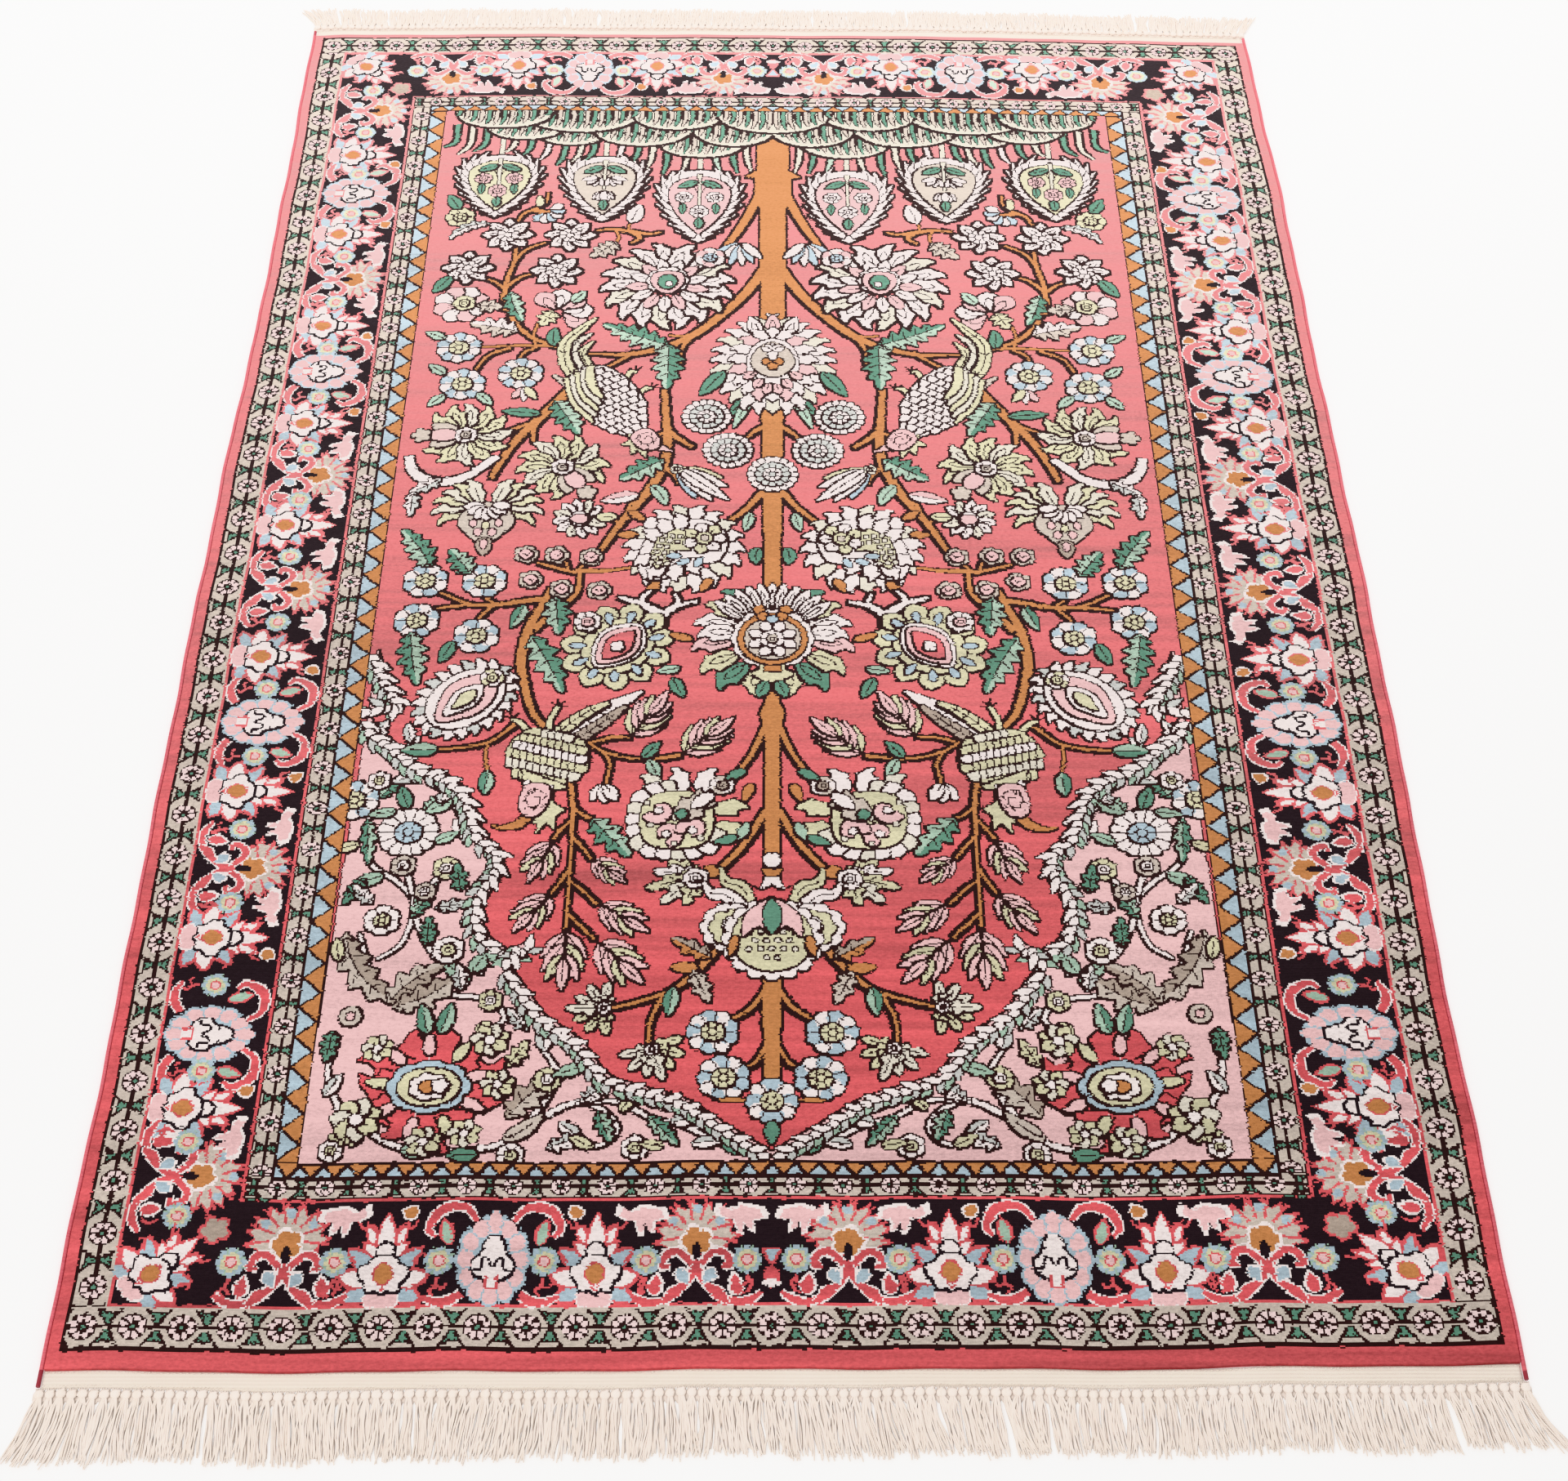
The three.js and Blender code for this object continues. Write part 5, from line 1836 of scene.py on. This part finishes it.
def makeKilim(end):
    out = outward(end)
    bm = bmesh.new()
    bmesh.ops.create_grid(bm, x_segments=kilimLook["cellsAcross"], y_segments=kilimLook["cellsDeep"],
                          size=0.5)
    rim = [edge for edge in bm.edges if edge.is_boundary]
    made = bmesh.ops.extrude_edge_only(bm, edges=rim)["geom"]
    bmesh.ops.translate(bm, vec=(0, 0, -1), verts=[part for part in made if isVertex(part)])
    bmesh.ops.contextual_create(bm, geom=[part for part in made if isEdge(part)])
    left = float(edgeAt("left", edgeAt(end, 0))) + kilimLook["inset"]
    right = float(edgeAt("right", edgeAt(end, 0))) - kilimLook["inset"]
    u, v, level = np.array([vert.co for vert in bm.verts]).T + np.array([[0.5], [0.5], [0]])
    x = left + (right - left) * u
    inner, outer = edgeAt(end, x) + out * edges["gap"], kilimEdge(end, x)
    low, high = (outer, inner) if out < 0 else (inner, outer)
    onRim = np.minimum(np.minimum(u, 1 - u), np.minimum(v, 1 - v)) < 1e-4
    short, wide = kilimLook["ripples"]
    ripple = short * np.sin(x / 7.3) + wide * np.sin(x / 17 + 2)
    top = kilimLook["thickness"] - kilimLook["settled"] + np.where(onRim, -kilimLook["rim"], ripple)
    z = np.where(level < -0.5, 0.0, top)
    for vert, spot in zip(bm.verts, np.stack([x, low + (high - low) * v, z], axis=1) / 1000):
        vert.co = spot
    bmesh.ops.recalc_face_normals(bm, faces=bm.faces)
    meshes = [meshFrom(bm, "kilim_" + end + "_strip")]
    for look in kilimLook["stitches"]:
        x = left + look["pitch"] * (np.arange(int((right - left) / look["pitch"])) + 0.5)
        inner, outer = edgeAt(end, x), kilimEdge(end, x)
        y = inner + (outer - inner) * look["share"] + out * 0.6
        stitch = bmesh.new()
        bmesh.ops.create_uvsphere(stitch, u_segments=6, v_segments=4, radius=0.5)
        height, turn = kilimLook["thickness"] - 0.1, math.radians(look["lean"])
        meshes.append(rowOf("stitches", stitch,
                            [((a, b, height), look["size"], turn) for a, b in zip(x, y)]))
    return joined("kilim_" + end + "_cloth", meshes)


def weaveFinish():
    # plain weave: ribs over and under, read from the place on the rug
    look = kilimLook
    finish = Finish("cotton flat weave", Roughness=0.85, Sheen_Weight=0.2, Sheen_Roughness=0.5)
    place = finish.place()
    x, y, _ = finish.split(place)
    across, along = look["ribs"]
    warp, weft = (x * (6283.2 / across)).sine(), (y * (6283.2 / along)).sine()
    weave = warp * weft * 0.5 + 0.5
    fuzz = finish.noise(finish.stretch(place, (900, 900, 900)), 1.0, 2.0)
    stain = finish.noise(place, 14.0, 3.0)
    shots = (y * (6283.2 / look["shots"]) + stain * 3).sine() * 0.5 + 0.5
    pattern = weave * 0.25 + shots * 0.25 + fuzz * 0.3 + stain * 0.35
    body = finish.ramp(pattern, [(0.2, look["shadow"]), (0.8, look["light"])])
    return finish.feed(Base_Color=body, Normal=finish.bump(weave + 0.4 * fuzz, look["relief"]))


# The fringes: knots that tie off the warps, and their loose yarns.

fringeLook = {
    "near": {"knotRow": 11.5, "strand": 52.0, "longerLeft": 7.0},   # mm
    "far": {"knotRow": 11.0, "strand": 38.0, "longerLeft": 1.0},
    "strands": 138,
    "splay": 19.0,          # how far the last tips lean out at a corner, and how far in that can be seen
    "reach": 42.0,
    # how far the near strands' tips lie to the side of their knots, at places across the rug
    "nearLean": [(-606, 0), (-500, 4), (-400, 6), (-300, 1), (-240, -6), (-170, -1), (-20, 4), (60, 9),
                 (160, 9), (250, 1.5), (490, 4), (611, 5)],
    "warps": {"count": 6, "radii": [0.6, 0.6, 0.64]},       # they come together in each knot
    "knotSize": (9.4, 9.6, 5.4),
    # the yarns that hang from each knot, with their radius, their length as a share of the strand's, and
    # their height over the floor at four places from the knot to the tip
    "yarns": {"count": 8, "radius": 0.86, "long": (0.9, 1.0), "heights": [2.6, 2.7, 2.0, 1.7],
              "lifts": [0, 0.5, 1.6, 1.1]},
    # thick low yarns under the rest; their low place gets them the painted shade, so that they fill the
    # gaps between the yarns with shade colour
    "under": {"count": 3, "radius": 1.25, "long": (0.86, 0.94), "heights": [1.9, 1.5, 1.35, 1.3],
              "lifts": [0, 0, 0, 0]},
    "shadow": (0.86, 0.755, 0.665),
    "light": (1.0, 0.91, 0.85),
    # the colour of the painted shade under and between the yarns and knots
    "depth": (0.40, 0.33, 0.28),
    "seed": 12,
}


def combed(end, x):
    # eased between the given places, like the solid's strands
    if end == "far":
        return 0.0
    places, leans = zip(*fringeLook["nearLean"])
    i = int(np.clip(np.searchsorted(places, x) - 1, 0, len(places) - 2))
    share = (x - places[i]) / (places[i + 1] - places[i])
    return leans[i] + (leans[i + 1] - leans[i]) * share * share * (3 - 2 * share)


def looseYarn(rng, kind, strand, k):
    # one yarn of a strand, wavy and drifting aside on its own
    look, low = fringeLook[kind], kind == "under"
    share = (k + 0.5) / look["count"] - 0.5
    long = strand["reach"] * rng.uniform(*look["long"])
    drift, bow = (0.0, 0.0) if low else (rng.normal(0, 2.2), rng.normal(0, 1.5))
    wave, phase = rng.uniform(0.2, 0.9), rng.uniform(0, 6.28)
    lift = rng.uniform(0.0, 1.0)
    along = np.linspace(0, 1, 8)
    spread = np.interp(along, [0, 0.13, 0.3, 1], [0.34, 0.78, 1.0, 1.12]) * strand["pitch"] * share
    x = (strand["x"] + strand["lean"] * along**1.5 + strand["sway"] * np.sin(np.pi * along) + spread
         + drift * along**1.6 + bow * np.sin(np.pi * along) + wave * np.sin(along * 9 + phase))
    y = strand["knotAt"] + strand["out"] * (2.0 + (long - 2.0) * along)
    heights = [height + lift * more for height, more in zip(look["heights"], look["lifts"])]
    z = np.interp(along, [0, 0.14, 0.4, 1], heights)
    return np.stack([x, y, z], axis=1), look["radius"] * np.interp(along, [0, 0.9, 1], [1.0, 1.0, 0.62])


def makeFringe(end):
    look = fringeLook[end]
    out = outward(end)
    rng = np.random.default_rng(fringeLook["seed"] + out)
    left, right = (float(edgeAt(side, kilimEdge(end, 0))) for side in ("left", "right"))
    pitch = (right - left) / fringeLook["strands"]
    wide, deep, tall = fringeLook["knotSize"]
    warps = fringeLook["warps"]
    runs, ties = [], []
    for i in range(fringeLook["strands"]):
        x = left + pitch * (i + 0.5)
        start = float(kilimEdge(end, x)) + out * edges["gap"]
        knotAt = start + out * (look["knotRow"] * 0.5 + rng.normal(0, 0.5))
        longer = look["longerLeft"] * ((right - x) / (right - left)) ** 3
        longer += 2.2 * math.sin(i * 2.4) + 1.3 * math.sin(i * 0.37)
        reach = look["strand"] + longer + look["knotRow"] * 0.4
        splay = math.exp((x - right) / fringeLook["reach"]) - math.exp((left - x) / fringeLook["reach"])
        lean = fringeLook["splay"] * splay + combed(end, x) + 0.8 * math.sin(i * 1.7) + rng.normal(0, 1.5)
        sway = 0.7 * math.sin(i * 2.9) + rng.normal(0, 1.2)
        for k in range(warps["count"]):
            share = (k + 0.5) / warps["count"] - 0.5
            runs.append(([(x + share * pitch * 1.02, start - out * 0.1, 1.2 + 0.3 * (k % 2)),
                          (x + share * pitch * 0.8, start + out * 1.6, 1.5),
                          (x + share * 3.0, knotAt - out * 1.4, 2.2)], warps["radii"]))
        # the knot: a lumpy bead on a flat, low bed that is there for its painted shade, a dark patch
        # between and under the knots, with one turn of its yarn slung across it
        shadeBed = (pitch * 1.3, look["knotRow"] * 1.5, 1.4)
        ties.append(((x, start + out * look["knotRow"] * 0.62, 0.7), shadeBed, 0))
        turn = rng.normal(-0.15, 0.2)
        big = rng.uniform(0.9, 1.04)
        ties.append(((x, knotAt, tall * 0.48), (wide * 0.94 * big, deep * 0.9, tall * 0.92), turn))
        slung = (wide * 0.42, deep * 0.98 * big, tall * 0.72)
        ties.append(((x + rng.normal(0, 0.5), knotAt - out * 0.6, tall * 0.62), slung,
                     turn + out * rng.uniform(0.5, 0.85)))
        strand = {"x": x, "knotAt": knotAt, "out": out, "pitch": pitch, "reach": reach, "lean": lean,
                  "sway": sway}
        for kind in ("under", "yarns"):
            for k in range(fringeLook[kind]["count"]):
                runs.append(looseYarn(rng, kind, strand, k))
    bundle = bmesh.new()
    bmesh.ops.create_uvsphere(bundle, u_segments=10, v_segments=7, radius=0.5)
    mesh = joined("fringe_" + end + "_mesh", [rowOf("ties", bundle, ties), tubes("yarns", runs)])
    # painted shade: what lies low, or faces away from above, is painted darker, as if in the shade of the
    # rest
    count = len(mesh.vertices)
    place, normal = np.zeros(count * 3), np.zeros(count * 3)
    mesh.vertices.foreach_get("co", place)
    mesh.vertices.foreach_get("normal", normal)
    shade = 0.5 * (1 - normal[2::3]) + 0.6 * (1 - place[2::3] / 0.003)
    shade = np.clip(shade, 0, 1).astype(np.float32)
    mesh.attributes.new("shade", "FLOAT", "POINT").data.foreach_set("value", shade)
    return mesh


def yarnFinish():
    finish = Finish("cotton warp yarn", Roughness=0.8, Sheen_Weight=0.2, Sheen_Roughness=0.5)
    place = finish.place()
    x, y, _ = finish.split(place)
    twist = ((x * 2600) + (y * 4200)).sine() * 0.5 + 0.5
    bundle = finish.noise(finish.stretch(place, (420, 30, 1)), 1.0, 2.0)
    stain = finish.noise(finish.stretch(place, (30, 14, 1)), 1.0, 2.0)
    body = finish.ramp(twist * 0.25 + bundle * 0.45 + stain * 0.3,
                       [(0.3, fringeLook["shadow"]), (0.62, fringeLook["light"])])
    shade = finish.node("ShaderNodeAttribute", {"attribute_name": "shade"}, out="Fac")
    # painted shade: the shade attribute darkens the yarns towards the depth colour
    body = finish.blend(shade * 0.62, body, colour(*fringeLook["depth"]))
    return finish.feed(Base_Color=body, Normal=finish.bump(twist, 0.0002, 0.6))


# Put together.

report("drawing the knot chart")
chart = Chart()
drawBorders(chart)
drawField(chart)

report("knotting the pile")
pile = addPiece("pile_silk", makePile(chart), pileFinish(), smooth=False)
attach(pile, "root")
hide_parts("pile")

report("overcasting the sides")
overcast = selvedgeFinish()
for side, inward in (("left", 1), ("right", -1)):
    cord = addPiece("selvedge_" + side + "_overcast", makeSelvedge(side, inward), overcast)
    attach(cord, "root")
    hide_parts("selvedge_" + side)

report("weaving the ends")
flatWeave = weaveFinish()
yarn = yarnFinish()
for end in ("near", "far"):
    kilim = addPiece("kilim_" + end + "_weave", makeKilim(end), flatWeave)
    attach(kilim, "root")
    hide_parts("kilim_" + end)

report("tying the fringes")
for end in ("near", "far"):
    fringe = addPiece("fringe_" + end + "_yarns", makeFringe(end), yarn)
    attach(fringe, "root")
    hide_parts("fringe_" + end)

# Floor, light and camera.

report("setting the floor, light and camera")
studio = {
    "floor": 12,            # m, half its width
    "paper": [(0, (0.94, 0.94, 0.94)), (1, (0.97, 0.97, 0.97))],
    "glow": 0.3,
    "sky": (1.0, 0.985, 0.97),
    "skyStrength": 0.72,
    "tone": "Khronos PBR Neutral",
}
floorBm = bmesh.new()
bmesh.ops.create_grid(floorBm, x_segments=1, y_segments=1, size=studio["floor"])
floorFinish = Finish("pale floor", Roughness=0.9, Emission_Color=colour(1, 1, 1),
                     Emission_Strength=studio["glow"])
paper = floorFinish.ramp(floorFinish.noise(floorFinish.place(), 3.0), studio["paper"])
floor = addPiece("floor", meshFrom(floorBm, "floor"), floorFinish.feed(Base_Color=paper))

# metres and degrees: down from level, aside from straight along the rug; the lens in mm
view = {"place": (-0.0096, -2.0471, 1.9724), "down": 47.77, "aside": 0.44, "roll": 0.43, "lens": 61.58}
down, aside, roll = (math.radians(view[key]) for key in ("down", "aside", "roll"))
ahead = Vector((math.sin(aside) * math.cos(down), math.cos(aside) * math.cos(down), -math.sin(down)))
right = Vector((math.cos(aside), -math.sin(aside), 0))
up = right.cross(ahead)
right, up = (math.cos(roll) * right + math.sin(roll) * up, -math.sin(roll) * right + math.cos(roll) * up)
camera = bpy.data.objects.new("camera", bpy.data.cameras.new("camera"))
camera.data.sensor_width = 36.0
camera.data.lens = view["lens"]
camera.data.clip_end = 60
turned = Matrix((right, up, -ahead)).transposed().to_4x4()
camera.matrix_world = Matrix.Translation(view["place"]) @ turned
scene.collection.objects.link(camera)
scene.camera = camera

lights = [
    {"name": "far skylight", "place": (0.0, 1.5, 1.75), "aim": (0, 1.35, 0), "size": (2.8, 1.3),
     "power": 40, "spread": 120},
    {"name": "front window", "place": (-1.4, -2.3, 2.9), "aim": (0, -0.3, 0), "size": (2.8, 2.0),
     "power": 72, "spread": 180},
]
for light in lights:
    lamp = bpy.data.lights.new(light["name"], "AREA")
    lamp.shape, lamp.energy = "RECTANGLE", light["power"]
    lamp.size, lamp.size_y = light["size"]
    lamp.spread = math.radians(light["spread"])
    holder = bpy.data.objects.new(light["name"], lamp)
    holder.location = light["place"]
    way = Vector(light["aim"]) - Vector(light["place"])
    holder.rotation_euler = way.to_track_quat("-Z", "Y").to_euler()
    scene.collection.objects.link(holder)

world = bpy.data.worlds.new("studio")
world.use_nodes = True
background = world.node_tree.nodes["Background"].inputs
background["Color"].default_value = colour(*studio["sky"])
background["Strength"].default_value = studio["skyStrength"]
scene.world = world
scene.view_settings.view_transform = studio["tone"]
scene.view_settings.look = "None"

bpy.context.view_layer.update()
report("finished")
